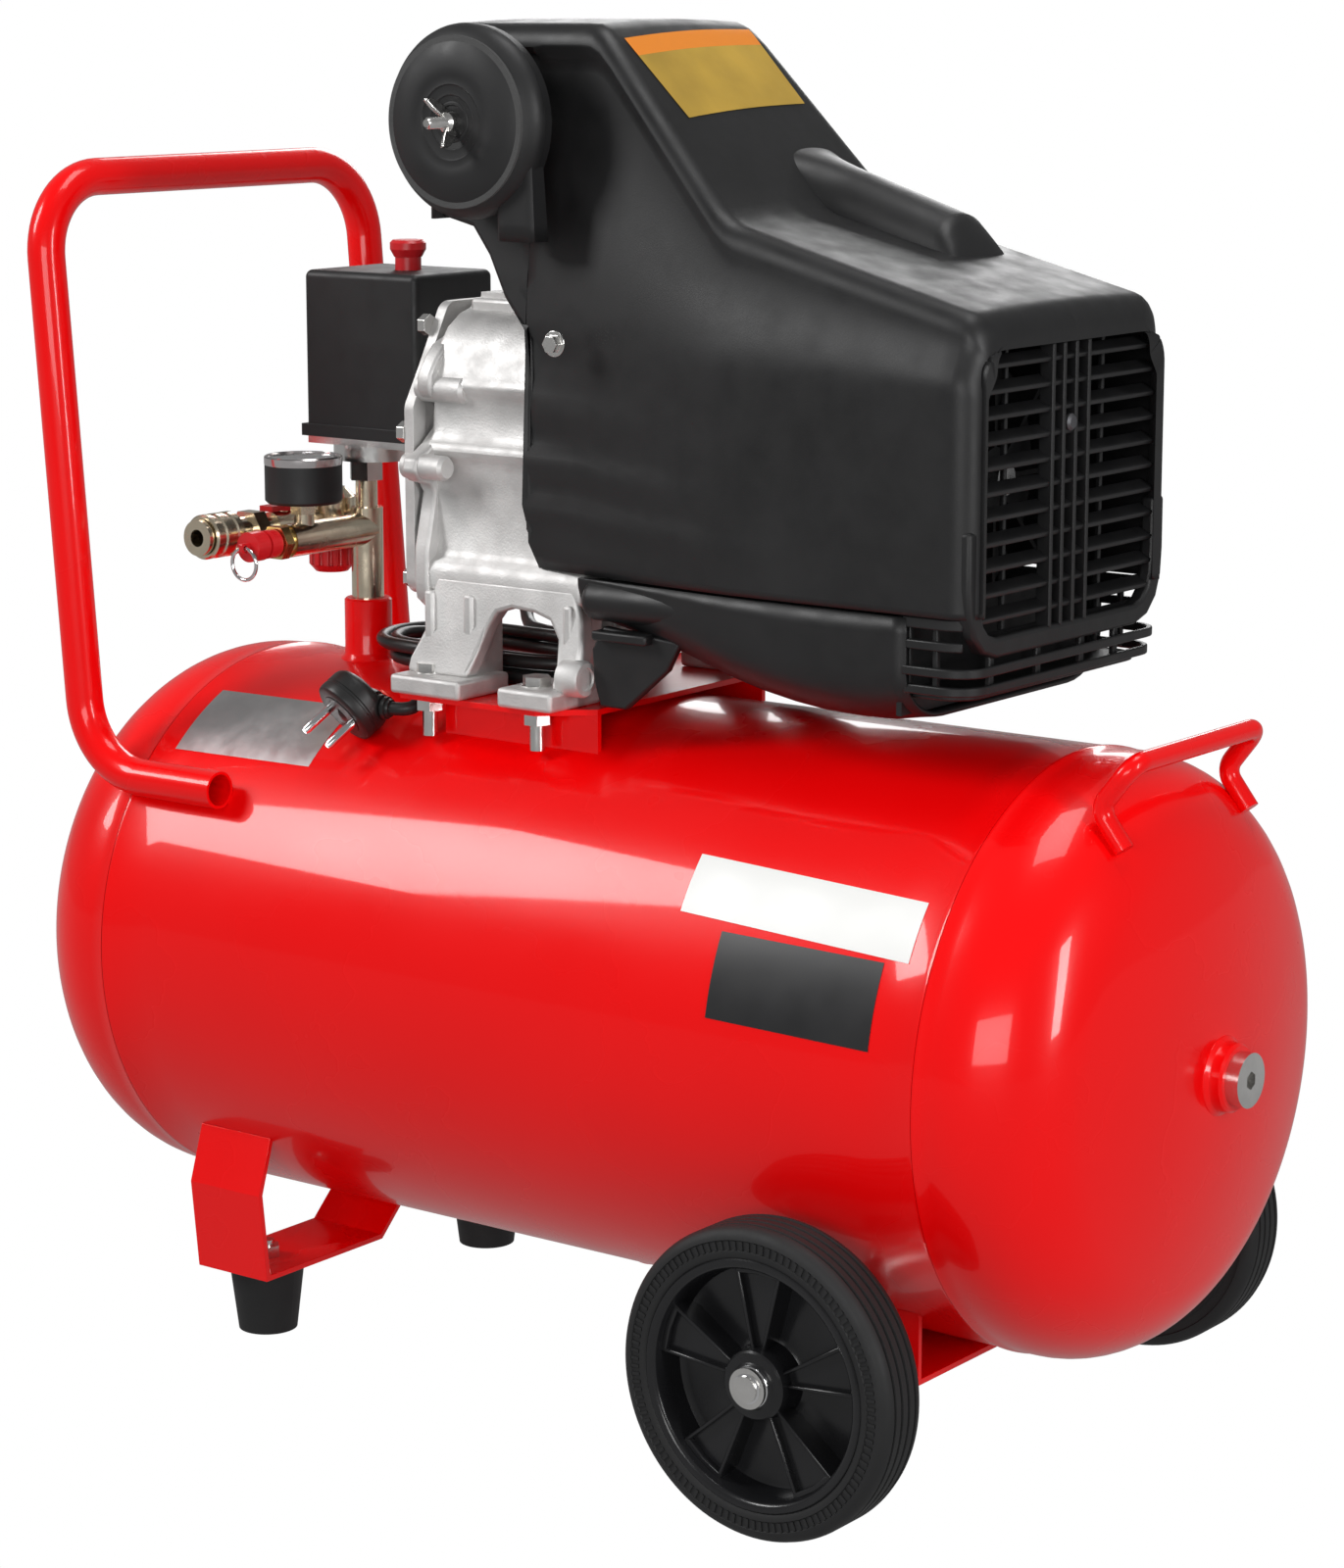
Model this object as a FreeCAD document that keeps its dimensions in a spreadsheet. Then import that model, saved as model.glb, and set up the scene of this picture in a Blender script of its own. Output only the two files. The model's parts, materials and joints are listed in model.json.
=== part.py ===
import FreeCAD, Part
import math
import os
import re
import Sketcher
from FreeCAD import Placement, Rotation, Vector

# Direct-driven air compressor: a horizontal tank on two wheels and two rubber
# feet, with an oil-lubricated single-cylinder pump and its motor on top.
# Frame: X runs along the tank towards the wheels, -Y is the side with the
# filter, Z is up, the floor is Z = 0.  Lengths are in millimetres.  Every place
# below is measured from the middle of the tank, and node() then moves the piece
# so that the origin is under the middle of the whole machine.

doc = FreeCAD.newDocument("AirCompressor")
sheet = doc.addObject("Spreadsheet::Sheet", "Sizes")

SIZES = [
    # tank
    ("tank_radius", 150, "outside radius of the tank"),
    ("tank_wall", 2.5, "steel of the tank"),
    ("tank_axis", "=tank_radius + 60", "height of the tank's axis"),
    ("barrel_half", 260, "half length of the rolled barrel"),
    ("head_flange", 12, "straight part of each pressed head"),
    ("head_depth", 68, "depth of the dished part of a head"),
    ("head_knuckle", 56, "knuckle radius of a head"),
    ("bung_stand", 15, "how far the end plug stands out of the head"),
    ("bung_radius", 17, "radius of the welded inspection boss"),
    ("bung_face", 8, "how far the inspection boss stands out of the head"),
    ("plug_shank", 11, "radius of the end plug's threaded shank"),
    ("plug_head", 13.5, "radius of the end plug's head"),
    ("plug_socket", 4.6, "radius across the corners of its hexagon socket"),
    ("drain_at", 70, "place of the drain boss along the tank"),
    ("drain_radius", 12, "radius of the drain boss"),
    ("drain_drop", 8, "how far the drain boss hangs below the tank"),
    ("drain_bore", 5, "radius of the drain's threaded bore"),
    ("cock_radius", 9, "radius of the drain cock's knob"),
    # posts
    ("post_at", -198, "place of the outlet post along the tank"),
    ("post_radius", 13, "outlet post"),
    ("post_bore", 8.5, "bore of the outlet post"),
    ("post_top", 393, "top of the outlet post"),
    ("inlet_at", -118, "place of the inlet stub along the tank"),
    ("inlet_side", 88, "place of the inlet stub across the tank"),
    ("inlet_radius", 10, "inlet stub"),
    ("inlet_bore", 6, "bore of the inlet stub"),
    ("inlet_top", 362, "top of the inlet stub"),
    # front foot bracket and feet
    ("foot_at", -196, "place of the foot bracket along the tank"),
    ("foot_side", 94.6, "place of a rubber foot to the side"),
    ("foot_height", 37, "rubber foot"),
    ("foot_top", 20.5, "top radius of a rubber foot"),
    ("foot_bottom", 16, "bottom radius of a rubber foot"),
    ("strap_wide", 50, "width of the foot bracket's strap"),
    ("strap_thick", 3, "thickness of the brackets' steel"),
    ("strap_rest", 25, "where the strap bends up under the tank, to the side"),
    ("strap_side", 122, "where the strap turns up beside the tank"),
    ("strap_bulge", 127, "how far the strap's leg leans out"),
    # axle bracket and wheels
    ("axle_at", 197.4, "place of the axles along the tank"),
    ("wheel_radius", 77, "tyre outside"),
    ("wheel_wide", 31.8, "tyre width"),
    ("wheel_outer", 189.3, "outer face of a tyre from the middle"),
    ("rim_radius", 62, "outside radius of a rim, and bore of its tyre"),
    ("rim_deep", 5, "thickness of a rim's band"),
    ("web_thick", 4, "thickness of a rim's web"),
    ("spoke_count", 5, "raised spokes of a rim"),
    ("hub_radius", 16, "hub of a rim"),
    ("hub_long", 40, "length of a hub"),
    ("axle_radius", 6, "axle bolt"),
    ("axle_play", 0.06, "running clearance of a hub on its bolt"),
    ("tread_deep", 1.6, "depth of a tread groove"),
    ("tread_wide", 2.0, "width of a tread groove"),
    ("bracket_half", 32.5, "half width of the axle bracket along the tank"),
    ("bracket_side", 95, "outside of the axle bracket to the side"),
    # handles
    ("handle_tube", 10, "radius of the main handle's tube"),
    ("handle_wall", 1.6, "wall of the main handle's tube"),
    ("handle_side", 128, "place of a handle leg to the side"),
    ("handle_start", -192, "open end of the handle along the tank"),
    ("handle_knee", -287, "where the handle turns up"),
    ("handle_lean", -312, "top bar of the handle along the tank"),
    ("handle_top", 621.5, "height of the handle's top bar"),
    ("handle_bend", 42, "bend radius of the handle"),
    ("grab_rod", 5, "radius of the rear handle's rod"),
    ("grab_side", 60, "half width of the rear handle"),
    ("grab_foot_at", "=barrel_half + 57.5", "foot of the rear handle along the tank"),
    ("grab_foot_high", "=tank_axis + sqrt((tank_radius - 17.6) ^ 2 - grab_side ^ 2)", "height of the rear handle's foot"),
    ("grab_knee_at", "=grab_foot_at - 14", "knee of the rear handle along the tank"),
    ("grab_knee_high", "=grab_foot_high + 18", "height of the rear handle's knee"),
    ("grab_top_at", "=grab_foot_at + 3.5", "bar of the rear handle along the tank"),
    ("grab_top_high", "=grab_foot_high + 41", "height of the rear handle's bar"),
    # pump mounting
    ("plate_low", 361, "underside of the pump's base plate"),
    ("plate_thick", 3, "thickness of the base plate"),
    ("plate_side", "=case_side + 19", "half width of the base plate"),
    ("plate_front", -95, "front edge of the base plate"),
    ("plate_back", 18, "back edge of the base plate"),
    ("skirt_front", -82, "front edge of the base plate's skirts"),
    ("skirt_side", "=case_side - 2", "outside of the skirts"),
    ("bolt_front", -85, "front mounting bolts"),
    ("bolt_back", -14, "back mounting bolts"),
    ("bolt_side", "=case_side + 7", "mounting bolts to the side"),
    ("bolt_radius", 4, "M8 bolt"),
    ("bolt_play", 0.3, "clearance of a bolt in its hole"),
    ("hex_flat", 13, "across the flats of an M8 head"),
    ("hex_head", 5.3, "height of an M8 head"),
    ("hex_nut", 6.5, "height of an M8 nut"),
    ("pad_thick", 10, "thickness of a crankcase foot"),
    # pump
    ("crank_height", 488, "height of the crankshaft"),
    ("pump_at", -50, "place of the cylinder along the tank"),
    ("case_front", -100, "joint face of the crankcase and its cover"),
    ("case_back", 10, "back of the crankcase"),
    ("case_side", 75, "half width of the crankcase"),
    ("case_floor", 412, "underside of the crankcase"),
    ("case_deck", 562, "deck that the cylinder stands on"),
    ("case_cavity", 55, "radius of the crankcase's inside"),
    ("case_wall", 16, "back wall of the crankcase, which holds a bearing"),
    ("cover_deep", 30, "depth of the crankcase cover"),
    ("throw", 19, "crank throw, half the stroke"),
    ("rod_length", 110, "connecting rod between centres"),
    ("rod_thick", 15, "thickness of the connecting rod"),
    ("crank_pin", 9, "radius of the crank pin"),
    ("shaft_radius", 8, "motor shaft"),
    ("shaft_play", 0.08, "running clearance of the shaft"),
    ("bore_radius", 23.5, "cylinder bore"),
    ("piston_play", 0.06, "clearance of the piston"),
    ("piston_tall", 36, "height of the piston"),
    ("pin_radius", 6, "wrist pin"),
    ("wrist_pin_long", 44, "length of the wrist pin"),
    ("cylinder_wall", 5, "wall of the cylinder"),
    ("cylinder_tall", 74, "height of the cylinder"),
    ("fin_reach", 8.4, "how far the cooling fins stand out"),
    ("fin_count", 7, "cooling fins"),
    ("head_tall", 46, "height of the cylinder head"),
    ("head_half", 36, "half width of the cylinder head"),
    # motor
    ("bearing_radius", 17.5, "outside radius of a shaft bearing"),
    ("bearing_wide", 11, "width of a shaft bearing"),
    ("stator_from", 52, "front of the motor's stator"),
    ("stator_long", 72, "length of the stator"),
    ("stator_radius", 62, "outside radius of the stator"),
    ("rotor_radius", 34, "radius of the rotor"),
    ("air_gap", 0.5, "gap between rotor and stator"),
    ("bell_from", 142, "front of the motor's end bell"),
    ("fan_from", 186, "front of the cooling fan"),
    ("fan_radius", 62, "cooling fan"),
    ("fan_wide", 20, "width of the cooling fan"),
    ("fan_blades", 8, "blades of the cooling fan"),
    # shroud
    ("shroud_wall", 2.5, "plastic of the shroud"),
    ("shroud_side", "=case_side + 17", "half width of the shroud at its widest"),
    ("shroud_top", 706, "top of the shroud"),
    ("shroud_top_side", 72, "half width of the shroud's top"),
    ("shroud_head_front", -90, "front of the shroud's upper part"),
    ("shroud_front", -27, "front edge of the shroud's lower part"),
    ("slope_from", 14, "where the shroud's slope starts"),
    ("slope_to", 100, "where the shroud's slope ends"),
    ("slope_foot", 610, "height of the slope's foot"),
    ("shroud_end", 250, "end face of the shroud"),
    ("shroud_end_top", 572, "top of the end face"),
    ("tray_top", 432, "joint of the shroud and its lower tray"),
    ("tray_low", 377, "lowest point of the tray"),
    ("tray_from", 12, "front edge of the tray"),
    ("tray_step", 66, "where the tray steps down"),
    ("tray_belly", 170, "lowest point of the tray along the tank"),
    ("rail_long", 183, "length of the tray's side rails"),
    ("rail_radius", 9, "radius of the upper rails"),
    ("grille_half", 80, "half width of the grille opening"),
    ("grille_low", 421, "lower edge of the grille opening"),
    ("grille_high", 557, "upper edge of the grille opening"),
    ("louvre_pitch", 13.4, "distance between louvres"),
    ("louvre_gap", 8, "opening between two louvres"),
    # intake filter
    ("filter_height", 656, "height of the filter's axis"),
    ("filter_radius", 48.5, "filter cover"),
    ("filter_back", "=-case_side - 6", "back of the filter base"),
    ("filter_face", "=filter_back - 22", "front of the filter cover"),
    ("filter_base_wide", 8, "thickness of the filter base's rim"),
    # pressure switch
    ("switch_at", -173.5, "middle of the pressure switch along the tank"),
    ("switch_half", 39.5, "half length of the pressure switch"),
    ("switch_near", -32, "front face of the pressure switch"),
    ("switch_far", 33, "back face of the pressure switch"),
    ("switch_low", 484, "underside of the pressure switch's base"),
    ("switch_lip", 6.5, "height of the base's lip"),
    ("switch_top", 573, "top of the pressure switch"),
    ("knob_at", -166, "switch knob along the tank"),
    ("knob_radius", 9.7, "radius of the switch knob"),
    ("knob_stem", 7, "radius of the knob's stem"),
    ("knob_travel", 6, "how far the knob is pressed"),
    # manifold
    ("column_radius", 8.8, "manifold column"),
    ("arm_height", 431, "height of the main arm"),
    ("arm_radius", 9, "radius of the main arm"),
    ("arm_long", 66, "length of the main arm"),
    ("cap_out", 10, "foot of the safety valve's cap beyond the arm"),
    ("eye_out", 22.8, "eye of the cap above its foot"),
    ("key_ring", 8.5, "radius of the safety valve's ring"),
    ("gauge_side", -51, "place of the gauge to the side"),
    ("gauge_radius", 20.8, "gauge case"),
    ("gauge_low", 450.5, "underside of the gauge case"),
    ("gauge_tall", 25, "height of the gauge case"),
    ("second_at", -224, "regulator and outlet arm along the tank"),
    ("outlet_height", 435, "height of the outlet arm"),
    ("regulator_radius", 14, "regulator housing"),
    ("outlet_radius", 8, "outlet valve"),
    ("coupler_radius", 8, "body of the quick coupler"),
    ("coupler_from", -58, "where the coupler starts to the side"),
    ("coupler_tip", -107, "open end of the coupler"),
    ("sleeve_radius", 12, "sleeve of the coupler"),
    ("sleeve_long", 22, "length of the sleeve"),
    ("sleeve_travel", 4, "how far the sleeve is pulled back"),
    # cord and plug
    ("cord_radius", 3.6, "mains cord"),
    ("gland_at", -186, "cable gland along the tank"),
    ("gland_high", 500, "height of the cable gland"),
    ("gland_long", 25, "how far the gland stands out of the switch"),
    ("coil_from", -135, "front straight end of the coiled cord"),
    ("coil_to", -55, "back straight end of the coiled cord"),
    ("coil_outer", 45, "outside bend of the coiled cord"),
    ("coil_inner", 30, "inside bend of the coiled cord"),
    ("coil_low", 364.4, "underside of the coiled cord"),
    ("coil_tall", 16, "height of the coiled cord"),
    ("plug_radius", 18.5, "body of the mains plug"),
    ("plug_pin", 2.4, "radius of a plug pin"),
    ("plug_pin_gap", 19, "distance between the plug's pins"),
    # air tubes
    ("air_tube", 5, "delivery tube"),
    ("air_tube_out", "=case_side + 29", "how far the delivery tube stands out to the side"),
    ("unload_tube", 2, "unloader tube"),
]

NAMES = {alias for alias, value, note in SIZES}
WORD = re.compile(r"[a-z][a-z_0-9]*")

for row, (alias, value, note) in enumerate(SIZES, start=1):
    sheet.set("A%d" % row, note)
    sheet.setAlias("B%d" % row, alias)
for row, (alias, value, note) in enumerate(SIZES, start=1):
    sheet.set("B%d" % row, str(value))
doc.recompute()


def size(alias):
    """A size read back from the sheet."""
    return float(getattr(sheet, alias))


def cells(expression):
    """Names of sizes turned into references to the sheet's cells."""
    return WORD.sub(lambda word: "Sizes." + word.group(0) if word.group(0) in NAMES else word.group(0),
                    str(expression))


# ---------------------------------------------------------------- small tools

ALONG = {
    "X": Rotation(Vector(0, 1, 0), 90),
    "-X": Rotation(Vector(0, 1, 0), -90),
    "Y": Rotation(Vector(1, 0, 0), -90),
    "-Y": Rotation(Vector(1, 0, 0), 90),
    "Z": Rotation(),
    "-Z": Rotation(Vector(1, 0, 0), 180),
}


def bind(thing, **sizes):
    """Bind properties of an object to the sheet."""
    for name, expression in sizes.items():
        thing.setExpression(name, cells(expression))
    return thing


def place(thing, at, rotation=None):
    """Put an object at a place given by expressions."""
    thing.Placement = Placement(Vector(), rotation or Rotation())
    for axis, expression in zip("xyz", at):
        thing.setExpression("Placement.Base." + axis, cells(expression))
    return thing


def rod(radius, length, at, along="Z"):
    """A cylinder that starts at a point and runs along an axis."""
    piece = doc.addObject("Part::Cylinder", "Rod")
    bind(piece, Radius=radius, Height=length)
    return place(piece, at, ALONG[along])


def taper(radius, end_radius, length, at, along="Z"):
    """A cone that starts at a point and runs along an axis."""
    piece = doc.addObject("Part::Cone", "Taper")
    bind(piece, Radius1=radius, Radius2=end_radius, Height=length)
    return place(piece, at, ALONG[along])


def block(long, wide, tall, at):
    """A box by its lowest corner."""
    piece = doc.addObject("Part::Box", "Block")
    bind(piece, Length=long, Width=wide, Height=tall)
    return place(piece, at)


def hexagon(flat, length, at, along="Z", turn=0):
    """A hexagonal prism by the distance across its flats."""
    piece = doc.addObject("Part::Prism", "Hexagon")
    piece.Polygon = 6
    bind(piece, Circumradius="(%s) / sqrt(3)" % flat, Height=length)
    return place(piece, at, ALONG[along] * Rotation(Vector(0, 0, 1), turn))


def ring(radius, tube, at, along="Z"):
    """A torus about a point."""
    piece = doc.addObject("Part::Torus", "Ring")
    bind(piece, Radius1=radius, Radius2=tube)
    return place(piece, at, ALONG[along])


def join(*pieces):
    """One solid out of several that touch."""
    joined = doc.addObject("Part::MultiFuse", "Join")
    joined.Shapes = list(pieces)
    joined.Refine = True
    return joined


def group(*pieces):
    """Separate solids kept as one node."""
    together = doc.addObject("Part::Compound", "Group")
    together.Links = list(pieces)
    return together


def cut(base, *tools):
    """A solid less other solids."""
    result = doc.addObject("Part::Cut", "Cut")
    result.Base = base
    result.Tool = tools[0] if len(tools) == 1 else group(*tools)
    return result


def shared(first, second):
    """What two solids share."""
    common = doc.addObject("Part::Common", "Shared")
    common.Base = first
    common.Tool = second
    return common


def plane(body, role):
    """One of the body's own origin planes."""
    return next(part for part in body.Origin.OriginFeatures if part.Role == role)


def outline(body, role, points):
    """A closed sketch of straight lines whose every corner is bound to the sheet."""
    sketch = body.newObject("Sketcher::SketchObject", "Outline")
    sketch.AttachmentSupport = (plane(body, role), [""])
    sketch.MapMode = "FlatFace"
    count = len(points)
    start = [Vector(10, 0, 0)]
    for step in range(1, count):
        start.append(Rotation(Vector(0, 0, 1), 360.0 * step / count).multVec(start[0]))
    for here in range(count):
        sketch.addGeometry(Part.LineSegment(start[here], start[(here + 1) % count]), False)
    for here in range(count):
        sketch.addConstraint(Sketcher.Constraint("Coincident", here, 2, (here + 1) % count, 1))
    for here, (across, up) in enumerate(points):
        corner = start[here]
        for kind, value, expression in (("DistanceX", corner.x, across), ("DistanceY", corner.y, up)):
            index = sketch.addConstraint(Sketcher.Constraint(kind, -1, 1, here, 1, value))
            sketch.setExpression("Constraints[%d]" % index, cells(expression))
    return sketch


def turned(points):
    """A body turned about its own Z axis, from (radius, height) corners."""
    body = doc.addObject("PartDesign::Body", "Turned")
    sketch = outline(body, "XZ_Plane", points)
    spin = body.newObject("PartDesign::Revolution", "Spin")
    spin.Profile = sketch
    spin.ReferenceAxis = (sketch, ["V_Axis"])
    spin.Angle = 360
    return body


# In each plane: the two sketch directions, then the direction that a pad grows in.
PAD_SENSE = {"XY_Plane": False, "XZ_Plane": True, "YZ_Plane": False}


def extruded(role, points, start, length):
    """A body padded from one of its origin planes, from start over a length."""
    body = doc.addObject("PartDesign::Body", "Extruded")
    sketch = outline(body, role, points)
    sketch.setExpression("AttachmentOffset.Base.z",
                         cells("-(%s)" % start if PAD_SENSE[role] else start))
    pad = body.newObject("PartDesign::Pad", "Pad")
    pad.Profile = sketch
    pad.Reversed = PAD_SENSE[role]
    bind(pad, Length=length)
    return body


def rounded(thing, radius, chosen):
    """A copy with the chosen edges rounded; chosen is a test on an edge."""
    doc.recompute()
    fillet = doc.addObject("Part::Fillet", "Rounded")
    fillet.Base = thing
    edges = [index for index, edge in enumerate(thing.Shape.Edges, start=1) if chosen(edge)]
    fillet.Edges = [(index, radius, radius) for index in edges]
    return fillet


def around(thing, count, axis, first=0):
    """Copies of a piece, evenly spaced about an axis through the origin."""
    copies = []
    for step in range(int(count)):
        copy = doc.addObject("Part::Compound", "Turned_copy")
        copy.Links = [thing]
        copy.Placement = Placement(Vector(), Rotation(axis, first + 360.0 * step / count))
        copies.append(copy)
    return copies


NODES = []


def node(label, thing, at=("0", "0", "0"), rotation=None):
    """Name a finished piece and move it into the machine's frame."""
    thing.Label = label
    place(thing, ("(%s) - bung_stand / 2" % at[0], at[1], at[2]), rotation)
    NODES.append(thing)
    return thing


def still(shape, label="Shape"):
    """A Part::Feature for a shape that bends in three directions."""
    feature = doc.addObject("Part::Feature", label)
    feature.Shape = shape
    return feature


def bent_path(points, radii):
    """Straight runs joined by tangent arcs."""
    edges = []
    here = points[0]
    for corner, after, radius in zip(points[1:-1], points[2:], radii):
        inward = (corner - here).normalize()
        outward = (after - corner).normalize()
        half = inward.getAngle(outward) / 2
        back = radius * math.tan(half)
        first = corner - inward * back
        last = corner + outward * back
        middle = corner + (outward - inward).normalize() * (radius / math.cos(half) - radius)
        edges.append(Part.LineSegment(here, first).toShape())
        edges.append(Part.Arc(first, middle, last).toShape())
        here = last
    edges.append(Part.LineSegment(here, points[-1]).toShape())
    return Part.Wire(edges)


def bent_rod(points, radii, radius):
    """A round rod along a bent path."""
    path = bent_path(points, radii)
    circle = Part.Wire(Part.Circle(points[0], points[1] - points[0], radius).toShape())
    return path.makePipeShell([circle], True, False)


# ---------------------------------------------------------------------- tank

def dish(body, radius, depth, knuckle, start):
    """The half section of a dished head, with its knuckle and crown as arcs."""
    reach = size("barrel_half") + size("head_flange")
    rest = radius - knuckle
    crown = (rest ** 2 - knuckle ** 2 + depth ** 2) / (2 * (depth - knuckle))
    crown_mid = reach + depth - crown
    turn = math.asin(rest / (crown - knuckle))
    meet = Vector(rest + knuckle * math.sin(turn), reach + knuckle * math.cos(turn), 0)
    half = turn / 2
    knuckle_mid = Vector(rest + knuckle * math.cos(math.pi / 4 - half),
                         reach + knuckle * math.sin(math.pi / 4 - half), 0)
    crown_at = Vector(crown * math.sin(half), crown_mid + crown * math.cos(half), 0)
    sketch = body.newObject("Sketcher::SketchObject", "Dish")
    sketch.AttachmentSupport = (plane(body, "XZ_Plane"), [""])
    sketch.MapMode = "FlatFace"
    corners = [Vector(0, start, 0), Vector(radius, start, 0), Vector(radius, reach, 0)]
    top = Vector(0, reach + depth, 0)
    sketch.addGeometry(Part.LineSegment(corners[0], corners[1]), False)
    sketch.addGeometry(Part.LineSegment(corners[1], corners[2]), False)
    sketch.addGeometry(Part.Arc(corners[2], knuckle_mid, meet), False)
    sketch.addGeometry(Part.Arc(meet, crown_at, top), False)
    sketch.addGeometry(Part.LineSegment(top, corners[0]), False)
    return sketch


def dome(radius, depth, knuckle, start):
    """A solid head, turned about Z, from a height up to its crown."""
    body = doc.addObject("PartDesign::Body", "Dome")
    sketch = dish(body, radius, depth, knuckle, start)
    spin = body.newObject("PartDesign::Revolution", "Spin")
    spin.Profile = sketch
    spin.ReferenceAxis = (sketch, ["V_Axis"])
    spin.Angle = 360
    return body


def head_shell():
    """One pressed head, open towards the barrel, with its axis along Z."""
    wall = size("tank_wall")
    outer = dome(size("tank_radius"), size("head_depth"), size("head_knuckle"), size("barrel_half"))
    inner = dome(size("tank_radius") - wall, size("head_depth") - wall, size("head_knuckle") - wall,
                 size("barrel_half") - wall)
    return outer, inner


def make_tank():
    """Barrel with its posts and drain boss, the two heads and the plugs."""
    outer = rod("tank_radius", "2 * barrel_half", ("-barrel_half", "0", "tank_axis"), "X")
    post = rod("post_radius", "post_top - tank_axis", ("post_at", "0", "tank_axis"))
    stub = rod("inlet_radius", "inlet_top - tank_axis", ("inlet_at", "inlet_side", "tank_axis"))
    drain = rod("drain_radius", "tank_radius + drain_drop", ("drain_at", "0", "tank_axis"), "-Z")
    inner = rod("tank_radius - tank_wall", "2 * barrel_half + 2", ("-barrel_half - 1", "0", "tank_axis"), "X")
    post_hole = rod("post_bore", "post_top", ("post_at", "0", "tank_axis"))
    stub_hole = rod("inlet_bore", "inlet_top", ("inlet_at", "inlet_side", "tank_axis"))
    drain_hole = rod("drain_bore + 0.1", "tank_axis", ("drain_at", "0", "tank_axis"), "-Z")
    barrel = cut(join(outer, post, stub, drain), inner, post_hole, stub_hole, drain_hole)
    node("tank_barrel", barrel)

    outer, inner = head_shell()
    node("tank_head_front", cut(outer, inner), ("0", "0", "tank_axis"), ALONG["-X"])

    outer, inner = head_shell()
    crown = "barrel_half + head_flange + head_depth"
    boss = rod("bung_radius", "bung_face + 20", ("0", "0", crown + " - 20"))
    bore = rod("plug_shank + 0.1", "60", ("0", "0", crown + " - 30"))
    node("tank_head_rear", cut(join(outer, boss), inner, bore), ("0", "0", "tank_axis"), ALONG["X"])

    shank = rod("plug_shank", "bung_face + 6", ("0", "0", "-bung_face - 6"))
    cap = rod("plug_head", "bung_stand - bung_face", ("0", "0", "0"))
    socket = hexagon("plug_socket * sqrt(3)", "bung_stand", ("0", "0", "1"))
    node("end_plug", cut(join(shank, cap), socket), (crown + " + bung_face", "0", "tank_axis"), ALONG["X"])

    drop = "tank_axis - tank_radius - drain_drop"
    stem = rod("drain_bore", "drain_drop + 4", ("0", "0", "-1"))
    neck = rod("drain_bore", "4", ("0", "0", "-5"))
    knob = rod("cock_radius", "9", ("0", "0", "-14"))
    notches = around(rod("1.6", "9", ("cock_radius", "0", "-14")), 12, Vector(0, 0, 1))
    vent = rod("1.5", "30", ("0", "0", "-14.5"))
    node("drain_cock", cut(join(stem, neck, knob), vent, *notches), ("drain_at", "0", drop))


def tank_body():
    """The tank's outside as a tool that trims what is welded to it."""
    return rod("tank_radius", "2 * barrel_half", ("-barrel_half", "0", "tank_axis"), "X")


# -------------------------------------------------------- brackets and wheels

def make_foot_bracket():
    """The W-shaped strap under the front of the tank."""
    low = size("foot_height")
    thick = size("strap_thick")
    crest = size("tank_axis") - size("tank_radius")
    rest, side, bulge = size("strap_rest"), size("strap_side"), size("strap_bulge")
    side_in = side - thick
    bulge_in = bulge - thick
    leg_high = low + 49
    top = leg_high + 34
    lower = [(6, crest - thick), (rest + 2, low), (side, low), (bulge, leg_high), (side - 6, top)]
    upper = [(side_in - 6, top), (bulge_in, leg_high), (side_in, low + thick), (rest + 3.2, low + thick),
             (7, crest)]
    half = lower + upper
    ring_points = half + [(-across, up) for across, up in reversed(half)]
    corners = [Vector(0, across, up) for across, up in ring_points]
    face = Part.Face(Part.makePolygon(corners + corners[:1]))
    solid = face.extrude(Vector(size("strap_wide"), 0, 0))
    strap_piece = still(solid, "Foot_strap")
    place(strap_piece, ("foot_at - strap_wide / 2", "0", "0"))
    holes = [rod("bolt_radius + bolt_play", "20", ("foot_at", side_of, "foot_height - 5"))
             for side_of in ("foot_side", "-foot_side")]
    node("front_foot_bracket", cut(strap_piece, tank_body(), *holes))


def make_feet():
    """Two rubber feet with a recess for the bolt's head."""
    feet = []
    for side_of in ("foot_side", "-foot_side"):
        foot = taper("foot_bottom", "foot_top", "foot_height", ("foot_at", side_of, "0"))
        hole = rod("bolt_radius + bolt_play", "foot_height + 2", ("foot_at", side_of, "-1"))
        recess = rod("hex_flat / sqrt(3) + 2", "9", ("foot_at", side_of, "-1"))
        feet.append(cut(foot, hole, recess))
    node("rubber_feet", group(*feet))


def make_hex_bolts():
    """The pump's four mounting bolts and the two foot bolts, with their nuts."""
    pieces = []
    top = "plate_low + plate_thick + pad_thick"
    for along in ("bolt_front", "bolt_back"):
        for side_of in ("bolt_side", "-bolt_side"):
            head = hexagon("hex_flat", "hex_head", (along, side_of, top), turn=20)
            washer = rod("hex_flat * 0.62", "0.8", (along, side_of, top))
            shank = rod("bolt_radius", "pad_thick + plate_thick + 20", (along, side_of, top), "-Z")
            pieces.append(join(head, washer, shank))
            nut = hexagon("hex_flat", "hex_nut", (along, side_of, "plate_low - hex_nut"), turn=8)
            hole = rod("bolt_radius", "hex_nut + 2", (along, side_of, "plate_low - hex_nut - 1"))
            pieces.append(cut(nut, hole))
    for side_of in ("foot_side", "-foot_side"):
        head = hexagon("hex_flat", "hex_head", ("foot_at", side_of, "8 - hex_head"))
        shank = rod("bolt_radius", "foot_height + strap_thick + hex_nut + 3 - 8", ("foot_at", side_of, "8"))
        pieces.append(join(head, shank))
        nut = hexagon("hex_flat", "hex_nut", ("foot_at", side_of, "foot_height + strap_thick"), turn=15)
        hole = rod("bolt_radius", "hex_nut + 2", ("foot_at", side_of, "foot_height + strap_thick - 1"))
        pieces.append(cut(nut, hole))
    node("hex_bolts", group(*pieces))


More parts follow.
